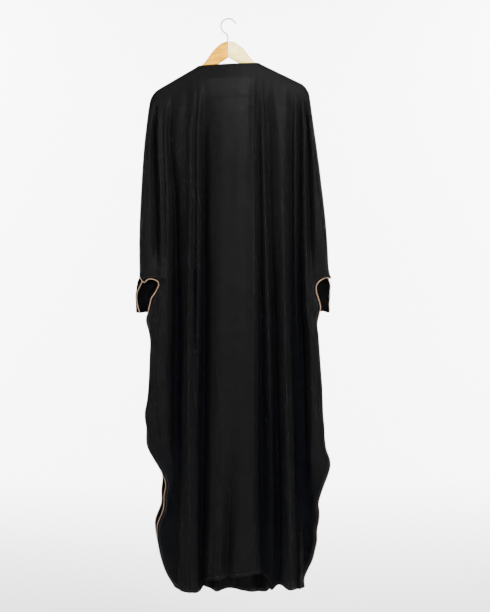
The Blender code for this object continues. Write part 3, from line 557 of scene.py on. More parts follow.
def seam_x(edge, z):
    """X of the wing's outer seam at the heights z, held at the wrist's below it."""
    heights = edge[0] + edge[2]
    sewn = heights > WRIST_Z - SEAM_SLACK
    return curve_through(heights[sewn], edge[1][sewn], z)


def calm_edge(edge, level):
    """X of an edge, averaged over a stretch of height on both sides."""
    near = np.linspace(-CALM_REACH, CALM_REACH, CALM_POINTS)
    return np.mean([read_edge(edge, 1, level + shift) for shift in near], axis=0)


def hem_z(table, x):
    """Height of a hem along X."""
    points = np.array(table, float) / 1000
    return curve_through(points[:, 0], points[:, 1], x)


def crowded(count):
    """Shares from 0 to 1, closer together at both ends."""
    share = np.linspace(0.0, 1.0, count)
    return share - SIDE_CROWDING * np.sin(2 * math.pi * share) / (2 * math.pi)


def columns_between(low, high, low_level, high_level, inset, shares):
    """X of the columns of each row, from one edge to the other.

    They keep to the calm edges. Near the sides they shift with the real edge, by a square
    law that fades over a fixed reach. The last columns carry a band of the inset's width.
    """
    low_x, high_x = read_edge(low, 1, low_level), read_edge(high, 1, high_level) - inset
    low_calm, high_calm = calm_edge(low, low_level), calm_edge(high, high_level) - inset
    calm = low_calm[:, None] + (high_calm - low_calm)[:, None] * shares
    from_low = np.clip(1 - (calm - low_calm[:, None]) / SHIFT_REACH, 0, 1)
    from_high = np.clip(1 - (high_calm[:, None] - calm) / SHIFT_REACH, 0, 1)
    x = calm + (low_x - low_calm)[:, None] * from_low**2
    x += (high_x - high_calm)[:, None] * from_high**2
    if inset:
        band = high_x[:, None] + inset * np.linspace(0, 1, BAND_COLUMNS + 1)[1:]
        x = np.concatenate([x, band], axis=1)
    return x


def panel_plan(low, high, top_x, hem_table, inset, shares, mirror):
    """X, Z, distance in from each side, and each row's levels at its two ends.

    A row starts as a level line. Near a side it rises or sinks to meet the edge's own
    height, by a share that falls off exponentially.
    """
    top_row = columns_between(low, high, low[0][:1], high[0][:1], inset, shares)[0]
    stretch = (top_row - top_row[0]) / (top_row[-1] - top_row[0])
    top_row = top_x[0] + (top_x[1] - top_x[0]) * stretch
    top_z = shoulder_z(mirror * top_row)
    part = (np.arange(UPPER_ROWS) / UPPER_ROWS)[:, None] ** UPPER_CROWDING
    upper = top_z + (LIP_START_Z - top_z) * part
    steps = np.concatenate([np.full(count, step) for count, step in LOWER_STEPS])
    lower = LIP_START_Z - np.concatenate([[0.0], np.cumsum(steps)])
    lower = np.repeat(lower[:, None], len(top_row), axis=1)
    hem_row = columns_between(low, high, low[0][-1:], high[0][-1:], inset, shares)[0]
    hem = hem_z(hem_table, mirror * hem_row)
    part = (np.arange(CLOSING_ROWS) + 1)[:, None] / CLOSING_ROWS
    closing = lower[-1] + (hem - lower[-1]) * part
    level = np.concatenate([upper, lower, closing])

    low_level, high_level = level[:, 0], level[:, -1]
    x = columns_between(low, high, low_level, high_level, inset, shares)
    x[0] = top_row
    in_low, in_high = x - x[:, :1], x[:, -1:] - x
    z = level + read_edge(low, 2, low_level)[:, None] * np.exp(-in_low / LIFT_REACH)
    z += read_edge(high, 2, high_level)[:, None] * np.exp(-in_high / LIFT_REACH)
    return x, z, in_low, in_high, low_level, high_level


def rolled(x, in_side, roll, outward):
    """X of a side that rolls under, and how far it moves away from its own face.

    Over the roll's width the cloth goes round a part circle, from behind the fold to its
    crown, and the rest of the panel is drawn along by a share that fades inwards.
    """
    under, flared = np.clip(roll, 0, 1)[:, None], np.clip(-roll, 0, 1)[:, None]
    t = np.clip(in_side / ROLL_WIDTH, 0, 1)
    angle = -ROLL_TURN * (1 - t) + math.pi / 2 * t
    round_in = ROLL_RADIUS * (1 - np.cos(angle))
    past = np.clip((in_side - ROLL_WIDTH) / (ROLL_REACH - ROLL_WIDTH), 0, 1)
    drawn = (ROLL_RADIUS - ROLL_WIDTH) * (1 - smooth_step(past))
    shift = np.where(in_side < ROLL_WIDTH, round_in - in_side, drawn)
    away = np.where(in_side < ROLL_WIDTH, ROLL_RADIUS * (1 - np.sin(angle)), 0.0)
    flare = FLARE * (1 - smooth_step(in_side / FLARE_REACH))
    return x - outward * under * shift, under * away - flared * flare


def folds_relief(places, reliefs, x):
    """Relief across the folds: a smooth curve through the fold lines.

    It is level at each crest and hollow. Through a line between the two it runs on, at the
    harmonic mean of the slopes before and after it.
    """
    gaps = [after - before for before, after in zip(places, places[1:])]
    rises = [after - before for before, after in zip(reliefs, reliefs[1:])]
    slopes = [np.zeros_like(x)]
    for k in range(len(gaps) - 1):
        before, after = rises[k] / gaps[k], rises[k + 1] / gaps[k + 1]
        same = before * after > 0
        mean = 2 * before * after / np.where(same, before + after, 1.0)
        slopes.append(np.where(same, mean, 0.0))
    slopes.append(slopes[0])
    total = reliefs[0].copy()
    for k, (gap, rise) in enumerate(zip(gaps, rises)):
        t = np.clip((x - places[k]) / gap, 0, 1)
        total += rise * smooth_step(t)
        total += gap * t * (1 - t) * ((1 - t) * slopes[k] - t * slopes[k + 1])
    return total


def creases_relief(creases, x, z):
    """Small creases: a bell-shaped ridge or trough that fades to both its ends."""
    total = np.zeros_like(x)
    for x0, z0, x1, z1, half_width, height in np.array(creases, float) / 1000:
        run_x, run_z = x1 - x0, z1 - z0
        length = math.hypot(run_x, run_z)
        along = ((x - x0) * run_x + (z - z0) * run_z) / length**2
        across = ((x - x0) * run_z - (z - z0) * run_x) / length
        fade = np.clip(1 - (2 * along - 1) ** 2, 0, 1)
        total += height * np.exp(-((across / half_width) ** 2)) * fade
    return total


def rumple(x, z, seed):
    """Slight unevenness: slow waves that run mostly upright, in several directions."""
    full = 2 * math.pi
    bend, bend_x, bend_z = RUMPLE_BEND
    bends = bend * np.sin(full * (bend_x * x + bend_z * z) + seed)
    total = np.zeros_like(x)
    for height, per_x, per_z, start in RUMPLE:
        total += height * np.sin(full * (per_x * x + per_z * z) + bends + start + seed)
    return total


def lies_flat(relief, z, in_side):
    """The relief, which below the wrist dies away towards the open side."""
    opened = smooth_step((WRIST_Z - z) / LIES_FLAT_OVER)
    return relief * (1 - opened * (1 - smooth_step(in_side / EDGE_LIES_FLAT)))


def back_panel():
    """Points of the back, their normals, which point to -Y, and the folds' relief.

    Its depth behind the garment's middle is that of the hanging body plus the folds'
    relief. It closes to nothing over the hanger's arms and along the wing's outer seam. The
    neck edge hangs free of the arms.
    """
    low = edge_curves(BACK_LEFT_EDGE, 1, LEFT_FURTHER)
    high = edge_curves(BACK_RIGHT_EDGE, 1, RIGHT_FURTHER)
    top = (SHOULDER_LEFT_X, SHOULDER_RIGHT_X)
    plan = panel_plan(low, high, top, BACK_HEM, 0.0, crowded(BACK_COLUMNS), 1)
    x, z, in_low, in_high, low_level, high_level = plan

    places = [curve_through(BACK_HEIGHTS, fold[1], z) / 1000 for fold in BACK_FOLDS]
    reliefs = [curve_through(BACK_HEIGHTS, fold[2], z) / 1000 for fold in BACK_FOLDS]
    held = smooth_step((z - CREASE_END[1]) / (CREASE_END[0] - CREASE_END[1]))
    for k, fold in enumerate(BACK_FOLDS):
        if "sleeve crease" in fold[0]:
            reliefs[k] += (SLEEVE_CREASE - reliefs[k]) * held
    relief = folds_relief(places, reliefs, x)
    relief *= np.where(relief < 0, HOLLOWS_DEEPEN, 1.0)
    relief += creases_relief(BACK_CREASES, x, z) + rumple(x, z, 0.0)
    relief = lies_flat(relief, z, np.minimum(in_low, in_high))

    below = shoulder_z(x) - z
    free = smooth_step((NECK_FREE - np.abs(x)) / NECK_TURN)
    over_arm = ARM_CLEARANCE * quarter_round(below / ROUND_OVER_ARM)
    depth = over_arm * (1 - free) + (ARM_CLEARANCE + NECK_STANDS_OFF) * free
    depth += (BACK_DEPTH - ARM_CLEARANCE) * smooth_step(below / BACK_FILLS_BY)
    relief *= smooth_step((below - FOLDS_START) / FOLDS_FULL)
    depth += relief
    inside = np.minimum(inside_seam(low, x, z, in_low, -1), inside_seam(high, x, z, in_high, 1))
    depth *= quarter_round(inside / EDGE_ROUND)

    x, low_away = rolled(x, in_low, read_edge(low, 3, low_level), -1)
    x, high_away = rolled(x, in_high, read_edge(high, 3, high_level), 1)
    depth -= low_away + high_away
    grid = np.stack([x, middle_y(x, z) - depth - SEAM_GAP / 2, z], axis=-1)
    normals = grid_normals(grid, -1)
    normals = square_to_seams(grid, normals, 1 - free[0], ((0, -1), (-1, 1)))
    return grid, normals, relief


def inside_seam(edge, x, z, in_side, outward):
    """Distance in from the wing's outer seam, or below the wrist from where it would go on.

    Along the seam itself it is made nothing, by what is left there, faded inwards.
    """
    stand = EDGE_STANDS_IN * smooth_step((WRIST_Z - z) / STANDS_IN_OVER)
    above = outward * (seam_x(edge, z) - x)
    below = np.maximum(in_side + stand, above - FOLD_CLOSES_IN * (WRIST_Z - z))
    column = slice(0, 1) if outward < 0 else slice(-1, None)
    left_over = np.where(z[:, column] >= WRIST_Z, above[:, column], 0.0)
    above = above - left_over * np.exp(-in_side / SEAM_EVENS_OVER)
    return np.where(z >= WRIST_Z, above, below)


def front_panel(side):
    """Points of a front, their normals, which point to +Y, and the folds' relief.

    side is -1 for the left front and 1 for the right. Both are worked out as the left one,
    and the right is mirrored. The folds stand at shares of the way from a plain line near
    the side to the centre front edge, so that they hang straight beside the wavy side edge.
    The fronts pass at the centre.
    """
    mirror = -side
    folds, edge, further, top_x, line, centre_column = FRONTS[side]
    low = edge_curves(edge, mirror, further)
    high = edge_curves([(row[0], row[centre_column]) for row in FRONT_EDGES], mirror)
    top = (mirror * top_x, high[1][0])
    plan = panel_plan(low, high, top, FRONT_HEM, BAND_WIDTH, crowded(FRONT_COLUMNS), mirror)
    x, z, in_low, in_high, low_level, _ = plan

    start = mirror * curve_through(FRONT_FOLDS_RUN, line, z) / 1000
    end = read_edge(high, 1, z) - BAND_WIDTH
    places = [start + fold[1] * (end - start) for fold in folds]
    reliefs = [curve_through(FRONT_HEIGHTS, fold[2], z) / 1000 for fold in folds]
    relief = folds_relief(places, reliefs, x) + rumple(mirror * x, z, 2.0 + side)
    relief += creases_relief(FRONT_CREASES, mirror * x, z)
    relief = lies_flat(relief, z, in_low)

    below = shoulder_z(mirror * x) - z
    filled = smooth_step(below / FRONT_FILLS_BY)
    depth = ARM_CLEARANCE * quarter_round(below / ROUND_OVER_ARM)
    depth += (FRONT_DEPTH - ARM_CLEARANCE) * filled
    relief *= smooth_step((below - FRONT_FOLDS_START) / FRONT_FOLDS_FULL)
    depth += relief
    near_centre = smooth_step(1 - in_high / OVERLAP_REACH)
    depth += side * FRONT_OVERLAP_STEP * near_centre * filled
    depth *= quarter_round(inside_seam(low, x, z, in_low, -1) / EDGE_ROUND)

    x, away = rolled(x, in_low, read_edge(low, 3, low_level), -1)
    depth -= away
    world_x = mirror * x
    grid = np.stack([world_x, middle_y(world_x, z) + depth + SEAM_GAP / 2, z], axis=-1)
    normals = grid_normals(grid, 1)
    normals = square_to_seams(grid, normals, np.ones(x.shape[1]), ((0, side),))
    return grid, normals, relief


def directions(grid, axis):
    """The way along one axis at each point: halfway between those of its two segments."""
    steps = unit(np.diff(grid, axis=axis))
    first, last = [slice(None)] * 3, [slice(None)] * 3
    first[axis], last[axis] = slice(0, 1), slice(-1, None)
    before = np.concatenate([steps[tuple(first)], steps], axis=axis)
    after = np.concatenate([steps, steps[tuple(last)]], axis=axis)
    return unit(before + after)


def grid_normals(grid, facing):
    """Unit normals of a grid, on the side given by the sign of facing along Y."""
    normals = unit(np.cross(directions(grid, 1), directions(grid, 0)))
    middle = normals[len(grid) // 2, :, 1].sum()
    return normals * (facing * np.sign(middle))


def square_to_seams(grid, normals, top_share, sewn_sides):
    """Normals along a seam lie in the seam's plane, so that the two rims stay apart.

    top_share is how far each column's top is on the shoulder seam. sewn_sides names the
    columns that lie on the wing's outer seam, each with its outward direction.
    """
    run = np.gradient(grid[0], axis=0)
    up = unit(np.stack([-run[:, 2], 0 * run[:, 2], run[:, 0]], axis=-1))
    up *= np.sign(up[:, 2:3])
    turned = normals.copy()
    turned[0] = unit(normals[0] * (1 - top_share[:, None]) + up * top_share[:, None])
    for column, direction in sewn_sides:
        sewn = grid[:, column, 2] > WRIST_Z - SEAM_GAP
        turned[sewn, column] = (direction, 0.0, 0.0)
        turned[0, column] = unit(up[column] + (direction, 0.0, 0.0))
    return turned


# Meshes

def faces_from(*corners):
    """Faces from arrays of their corners' numbers, an array for each corner."""
    return np.stack([corner.ravel() for corner in corners], axis=-1)


def faces_round(index):
    """Faces between neighbouring rings of points, given by the points' numbers."""
    after = np.roll(index, -1, axis=1)
    return faces_from(index[:-1], after[:-1], after[1:], index[1:])


def closed_wall(outer, inner):
    """Points and faces of a closed wall between two grids of the same size."""
    rows, columns = outer.shape[:2]
    points = np.concatenate([outer.reshape(-1, 3), inner.reshape(-1, 3)])
    front = np.arange(rows * columns).reshape(rows, columns)
    rear = front + rows * columns
    faces = [
        faces_from(front[:-1, :-1], front[1:, :-1], front[1:, 1:], front[:-1, 1:]),
        faces_from(rear[:-1, :-1], rear[:-1, 1:], rear[1:, 1:], rear[1:, :-1]),
        faces_from(front[0, :-1], front[0, 1:], rear[0, 1:], rear[0, :-1]),
        faces_from(front[-1, 1:], front[-1, :-1], rear[-1, :-1], rear[-1, 1:]),
        faces_from(front[1:, 0], front[:-1, 0], rear[:-1, 0], rear[1:, 0]),
        faces_from(front[:-1, -1], front[1:, -1], rear[1:, -1], rear[:-1, -1]),
    ]
    return points, np.concatenate(faces)


def rings_skin(rings):
    """Points and faces of a skin through closed rings, whose ends close on a point each."""
    count, sides = rings.shape[:2]
    index = np.arange(count * sides).reshape(count, sides)
    first, last = index[0], index[-1]
    end = np.full(sides, count * sides)
    caps = np.concatenate([
        faces_from(end, np.roll(first, -1), first),
        faces_from(end + 1, last, np.roll(last, -1)),
    ])
    ends = np.stack([rings[0].mean(axis=0), rings[-1].mean(axis=0)])
    return np.concatenate([rings.reshape(-1, 3), ends]), faces_round(index), caps


def signed_volume(points, faces):
    """Volume inside faces, times six, below zero where they point inwards."""
    first, *others = np.moveaxis(points[faces], 1, 0)
    return sum((first * np.cross(b, c)).sum() for b, c in zip(others, others[1:]))


def placed(name, data):
    """A new object in the scene."""
    made = bpy.data.objects.new(name, data)
    bpy.context.scene.collection.objects.link(made)
    return made


def smooth_mesh(name, points, faces, material):
    """A new object with a smooth mesh, from points and lists of corners."""
    mesh = bpy.data.meshes.new(name)
    mesh.from_pydata(points.tolist(), [], faces)
    mesh.shade_smooth()
    mesh.materials.append(material)
    return placed(name, mesh)


def make_piece(name, points, faces, material, maps=None):
    """A piece from points and groups of faces, with the points' own UV maps, faces outwards.

    maps gives, for each map's name, two numbers at each point.
    """
    if sum(signed_volume(points, group) for group in faces) < 0:
        faces = [group[:, ::-1] for group in faces]
    made = smooth_mesh(name, points, [row for group in faces for row in group.tolist()], material)
    corners = np.empty(len(made.data.loops), np.int32)
    made.data.loops.foreach_get("vertex_index", corners)
    for key, values in (maps or {}).items():
        layer = made.data.uv_layers.new(name=key)
        layer.data.foreach_set("uv", values[corners].astype(np.float32).ravel())
    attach(made, "root")
    return made


def stands_for(made, node):
    """A piece that replaces a node of the solids, whose own parts it hides."""
    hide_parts(node)
    return made


def cloth_map(grid):
    """Place on the cloth: length along the row from its middle, and height."""
    steps = np.linalg.norm(np.diff(grid[:, :, :2], axis=1), axis=2)
    along = np.concatenate([np.zeros((len(grid), 1)), np.cumsum(steps, axis=1)], axis=1)
    along -= along[:, along.shape[1] // 2][:, None]
    return np.stack([along, grid[:, :, 2]], axis=-1).reshape(-1, 2)


def edge_map(grid, finished):
    """Distance from the nearest finished edge, and length along it, at each point."""
    near = np.empty(grid.shape[:2] + (2,))
    path = np.concatenate(finished)
    run = np.concatenate([run_length(part) for part in finished])
    tangent = np.concatenate([unit(np.gradient(part, axis=0)) for part in finished])
    for row, points in enumerate(grid):
        gaps = points[:, None] - path
        nearest = np.argmin((gaps**2).sum(axis=-1), axis=1)
        gap = gaps[np.arange(len(points)), nearest]
        along = (gap * tangent[nearest]).sum(axis=-1)
        near[row, :, 0] = np.sqrt(np.maximum((gap**2).sum(axis=-1) - along**2, 0))
        near[row, :, 1] = run[nearest] + along
    return near.reshape(-1, 2)


def cloth_wall(name, panel, thickness, lift, material, finished):
    """A wall of even thickness whose inner side lies at lift from the grid, with its maps.

    finished holds the paths of its stitched edges. The map of hollows holds the folds'
    relief on the cloth's outer side, and none within.
    """
    grid, normals, relief = panel
    inner = grid + normals * lift
    points, faces = closed_wall(inner + normals * thickness, inner)
    cloth = cloth_map(grid)
    edges = np.full_like(cloth, 1.0)
    edges = edge_map(grid, [evenly(path, EDGE_STEP) for path in finished])
    # The map of hollows drives the painted shade in the cloth's hollows
    outside = np.stack([relief.ravel(), relief.ravel()], axis=-1)
    hollows = np.concatenate([outside, 0 * outside])
    maps = {"cloth": np.tile(cloth, (2, 1)), "edge": np.tile(edges, (2, 1)), "hollow": hollows}
    return make_piece(name, points, [faces], material, maps)


def evenly(path, step, calm=0):
    """A path's points at even steps, each then moved calm times to its neighbours' mean."""
    run = run_length(path)
    count = max(int(run[-1] / step), 2) + 1
    at = np.linspace(0, run[-1], count)
    even = np.stack([np.interp(at, run, path[:, axis]) for axis in range(3)], axis=-1)
    for _ in range(calm):
        even[1:-1] = even[1:-1] / 2 + (even[:-2] + even[2:]) / 4
    return even


def tube(name, path, radius, sides, material):
    """A round tube along a path with rounded ends.

    Each ring stands square to the path, turned as little as possible from the one before.
    Its map holds the turn round the tube in metres, and the length along it.
    """
    run = run_length(path)
    tangents = unit(np.gradient(path, axis=0))
    side = np.cross(tangents[0], (0.0, 1.0, 0.3))
    angles = np.arange(sides) * 2 * math.pi / sides
    swell = quarter_round(np.minimum(run, run[-1] - run) / radius)
    swell[[0, -1]] = TUBE_END
    rings = np.empty((len(path), sides, 3))
    for k, (point, tangent) in enumerate(zip(path, tangents)):
        side = unit(side - tangent * np.dot(side, tangent))
        other = np.cross(tangent, side)
        circle = np.outer(np.cos(angles), side) + np.outer(np.sin(angles), other)
        rings[k] = point + radius * swell[k] * circle
    points, quads, caps = rings_skin(rings)
    place = np.stack([np.tile(angles * radius, len(path)), np.repeat(run, sides)], axis=-1)
    place = np.concatenate([place, [[0.0, 0.0], [0.0, run[-1]]]])
    return make_piece(name, points, [quads, caps], material, {"cloth": place})


def piping(word, path, material):
    """A length of piping along a path."""
    return tube("trim_" + word, path, PIPING_RADIUS, PIPING_SIDES, material)


def side_piping(word, panel, column, material):
    """Piping along a side edge from the wrist point to the hem, just outside the cloth."""
    grid, normals, _ = panel
    start = int(np.argmax(grid[:, column, 2] < WRIST_Z + PIPING_STARTS_ABOVE))
    edge = evenly(grid[start:, column], PIPING_STEPS[0])
    run = run_length(grid[start:, column])
    at = run_length(edge)
    normal = [np.interp(at, run, normals[start:, column, axis]) for axis in range(3)]
    normal = unit(np.stack(normal, axis=-1))
    away = unit(np.cross(np.gradient(edge, axis=0), normal))
    middle = len(edge) // 2
    inward = grid[start + (len(grid) - start) // 2, 4 if column == 0 else -5] - edge[middle]
    if (away[middle] * inward).sum() > 0:
        away = -away
    path = edge + away * (PIPING_RADIUS + PIPING_GAP + CLOTH / 2)
    made = piping(word, evenly(path, PIPING_STEPS[1], calm=3), material)
    return stands_for(made, "piping_" + word)


def cuff_rings(rows, side, depth_y, inset):
    """Rings of an open cuff: ovals whose sizes run smoothly through the table's sections.

    Soft upright folds, a few waves round the oval, grow towards the wrist's end.
    """
    table = np.array(rows, float)
    heights = table[:, 0] / 1000
    z = np.linspace(heights[0], heights[-1], CUFF_RINGS)
    outermost, half_width, half_depth = (
        curve_through(heights, table[:, column] / 1000, z)[:, None] for column in (1, 2, 3)
    )
    turn = np.linspace(0, 2 * math.pi, CUFF_SIDES, endpoint=False)
    share = ((heights[0] - z) / (heights[0] - heights[-1]))[:, None]
    height, waves, lean = CUFF_SWAY
    wave = height * np.sin(waves * turn + lean * share) - CUFF_DRAWN_IN
    for height, waves, lean, start, growth in CUFF_WAVES:
        wave += height * np.sin(waves * turn + lean * share + start) * smooth_step(share * growth)
    middle = outermost - side * half_width
    y = middle_y(middle, z[:, None]) + depth_y
    x = middle + (half_width - inset + wave) * np.cos(turn)
    y = y + (half_depth - inset + wave) * np.sin(turn)
    height, waves, start = CUFF_END_WAVES
    hang = CUFF_SLANT * side * (x - middle) + height * np.sin(waves * turn + start)
    return np.stack([x, y, z[:, None] - hang * share**2], axis=-1)


def cuff(name, rows, side, depth_y, material):
    """An open tube of even wall that hangs from the wrist, with a turned hem at its end."""
    outer = cuff_rings(rows, side, depth_y, 0.0)
    inner = cuff_rings(rows, side, depth_y, CLOTH)
    above_end = outer[:, :, 2] - outer[-1, 0, 2]
    hem = above_end[:, :1, None] < CUFF_HEM
    inner += (outer - inner) * np.where(hem, -CUFF_HEM_THICKER, 0.0)
    points = np.concatenate([outer, inner[::-1]])
    index = np.arange(2 * CUFF_RINGS * CUFF_SIDES).reshape(-1, CUFF_SIDES)
    faces = faces_round(np.concatenate([index, index[:1]]))
    around = np.linalg.norm(outer - np.roll(outer, 1, axis=1), axis=2)
    around = np.cumsum(around, axis=1)
    maps = {}
    for key, first, second in (("cloth", around, outer[:, :, 2]), ("edge", above_end, around)):
        place = np.stack([first, second], axis=-1)
        maps[key] = np.concatenate([place, place[::-1]]).reshape(-1, 2)
    return make_piece(name, points.reshape(-1, 3), [faces], material, maps), outer


def cuff_seam_path(outer, rows, places):
    """The cuff's seam: down the rings at a turn that runs through the table's degrees."""
    heights = np.array(rows, float)[:, 0] / 1000
    count = outer.shape[1]
    turn = curve_through(heights, places, outer[:, 0, 2]) * count / 360
    whole = np.floor(turn).astype(int)
    part = (turn - whole)[:, None]
    ring = np.arange(len(outer))
    on = outer[ring, whole % count] * (1 - part) + outer[ring, (whole + 1) % count] * part
    half = np.ptp(outer, axis=1) / 2
    away = unit((on - outer.mean(axis=1)) / np.maximum(half, 1e-6) ** 2 * (1, 1, 0))
    path = on + away * (PIPING_RADIUS + PIPING_GAP)
    return evenly(path, CUFF_PIPING_STEP, calm=2)[CUFF_SEAM_SKIPS:]


# Hanger

def arm_underside_z(x):
    """Height of the underside of the hanger's arms, with the heel that takes the bar."""
    out = np.abs(x)
    heel = smooth_step((out - ARM_HEEL_X[0]) / (ARM_HEEL_X[1] - ARM_HEEL_X[0]))
    ends = ARM_HEEL_ENDS_X
    heel *= 1 - smooth_step((out - ends[0]) / (ends[1] - ends[0]))
    return ARM_UNDER_Z - ARM_UNDER_SLOPE * out - ARM_HEEL * heel + x * HANGER_TILT


def arm_top_z(x):
    """Height of the top of the arms: under the cloth's line, then up to the middle's arch."""
    out = np.abs(x)
    dip = ARM_UNDER_CLOTH + ARM_DIP * np.exp(-((out - NECK_HALF) / ARM_DIP_REACH) ** 2)
    line = shoulder_z(x) - CLOTH / 2 - dip
    knots, heights = np.array(ARCH, float).T / 1000
    bare = curve_through(knots, heights, out) + x * HANGER_TILT
    return np.where(out > NECK_HALF, line, bare)


def hanger_arm(name, side, material):
    """One wooden half: rounded oblongs along the arm, which close in at its tip."""
    along = np.linspace(0, 1, ARM_SECTIONS) ** ARM_CROWDING
    outs = (ARM_MIDDLE_GAP + (ARM_REACH - ARM_MIDDLE_GAP) * along)[:, None]
    x = side * outs
    top, under = arm_top_z(x), arm_underside_z(x)
    size = np.maximum(quarter_round((ARM_REACH - outs) / ARM_TIP_ROUND), ARM_TIP_LEAST)
    rim = quarter_round((outs - ARM_MIDDLE_GAP) / ARM_RIM)
    size *= 1 - ARM_RIM_SHARE * (1 - rim)
    turn = np.arange(ARM_SIDES) * 2 * math.pi / ARM_SIDES
    cos, sin = np.cos(turn), np.sin(turn)
    square = 2 / ARM_SQUARENESS
    y = CONTOUR * outs + ARM_THICKNESS / 2 * size * np.sign(cos) * np.abs(cos) ** square
    z = (top + under) / 2 + (top - under) / 2 * size * np.sign(sin) * np.abs(sin) ** square
    rings = np.stack([np.broadcast_to(x, y.shape), y, z], axis=-1)
    points, quads, caps = rings_skin(rings)
    return make_piece(name, points, [quads, caps], material)


def hook_path():
    """The hook's wire: a bend round the origin's rail, a neck, and a straight stem."""
    turns = np.radians(np.linspace(HOOK_OPENS_AT, HOOK_CLOSES_AT, HOOK_POINTS))
    bend = np.stack([np.cos(turns), 0 * turns, np.sin(turns)], axis=-1) * HOOK_RADIUS
    bend[:, 2] += WIRE_RADIUS - HOOK_RADIUS
    neck = np.array(HOOK_NECK) / 1000
    stem = [(neck[-1][0], 0.0, float(arm_top_z(0.0)) - HOOK_SINKS)]
    return evenly(np.concatenate([bend, neck, stem]), HOOK_STEP, calm=6)


# Finishes

def operator(name):
    """A Math node's operation as a method, and its form with the two values swapped."""
    def plain(self, other):
        return self.combine(name, self, other)

    def reflected(self, other):
        return self.combine(name, other, self)

    return plain, reflected


class Field:
    """A value that varies over a surface: a shader socket with its arithmetic."""

    def __init__(self, finish, socket):
        self.finish = finish
        self.socket = socket

    def combine(self, operation, first, second):
        """A Math node's result."""
        settings, values = {"operation": operation}, {0: first, 1: second}
        return self.finish.node("ShaderNodeMath", settings, values)["Value"]

    __add__, __radd__ = operator("ADD")
    __sub__, __rsub__ = operator("SUBTRACT")
    __mul__, __rmul__ = operator("MULTIPLY")

    def wave(self):
        """The sine of the value, in radians."""
        return self.combine("SINE", self, 0.0)

    def rest(self, length):
        """What is left of the value after whole lengths."""
        return self.combine("FLOORED_MODULO", self, length)

    def size(self):
        """The value without its sign."""
        return self.combine("ABSOLUTE", self, 0.0)

    def clear(self, low, high):
        """0 at low, 1 at high and beyond, with a smooth rise between."""
        values = {"Value": self, "From Min": low, "From Max": high}
        settings = {"interpolation_type": "SMOOTHSTEP"}
        return self.finish.node("ShaderNodeMapRange", settings, values)["Result"]


class Finish:
    """A material made of nodes."""

    def __init__(self, name, **constants):
        self.material = bpy.data.materials.new(name)
        self.material.use_nodes = True
        self.tree = self.material.node_tree
        self.shader = self.tree.nodes["Principled BSDF"]
        for key, value in constants.items():
            self.shader.inputs[key.replace("_", " ")].default_value = value

    def node(self, kind, settings=None, values=None):
        """A node of a kind: its settings first, then the values or links of its sockets."""
        made = self.tree.nodes.new(kind)
        for key, value in (settings or {}).items():
            setattr(made, key, value)
        for key, value in (values or {}).items():
            if isinstance(value, Field):
                self.tree.links.new(value.socket, made.inputs[key])
            else:
                made.inputs[key].default_value = value
        return {out.name: Field(self, out) for out in made.outputs if out.enabled}

    def object_place(self, scale=(1.0, 1.0, 1.0), turn=(0.0, 0.0, 0.0)):
        """Object coordinates, turned and stretched."""
        place = self.node("ShaderNodeTexCoord")["Object"]
        values = {"Vector": place, "Rotation": turn, "Scale": scale}
        return self.node("ShaderNodeMapping", None, values)["Vector"]

    def map_place(self, name, scale=(1.0, 1.0, 1.0)):
        """A UV map's place, stretched."""
        place = self.node("ShaderNodeUVMap", {"uv_map": name})["UV"]
        return self.node("ShaderNodeMapping", None, {"Vector": place, "Scale": scale})["Vector"]

    def parts(self, vector):
        """A vector's three parts."""
        made = self.node("ShaderNodeSeparateXYZ", None, {"Vector": vector})
        return made["X"], made["Y"], made["Z"]

    def noise(self, place, scale=1.0, detail=3.0, roughness=0.55):
        """Soft noise between 0 and 1."""
        values = {"Vector": place, "Scale": scale, "Detail": detail, "Roughness": roughness}
        return self.node("ShaderNodeTexNoise", {"normalize": True}, values)["Fac"]

    def mix(self, share, first, second):
        """A colour between two, by a share."""
        sockets = {0: share, 6: first, 7: second}
        return self.node("ShaderNodeMix", {"data_type": "RGBA"}, sockets)["Result"]

    def shaded(self, shade, dark, light):
        """A colour between two, halfway where the shade is nothing."""
        return self.mix((shade + 0.5).clear(0.0, 1.0), dark, light)

    def complete(self, colour, roughness, height, strength, distance=1.0):
        """The material, with its colour, its roughness and its surface raised by a height."""
        values = {"Height": height, "Distance": distance, "Strength": strength}
        self.feed("Base Color", colour)
        self.feed("Roughness", roughness)
        self.feed("Normal", self.node("ShaderNodeBump", None, values)["Normal"])
        return self.material

    def feed(self, key, value):
        """A field on one of the shader's sockets."""
        self.tree.links.new(value.socket, self.shader.inputs[key])


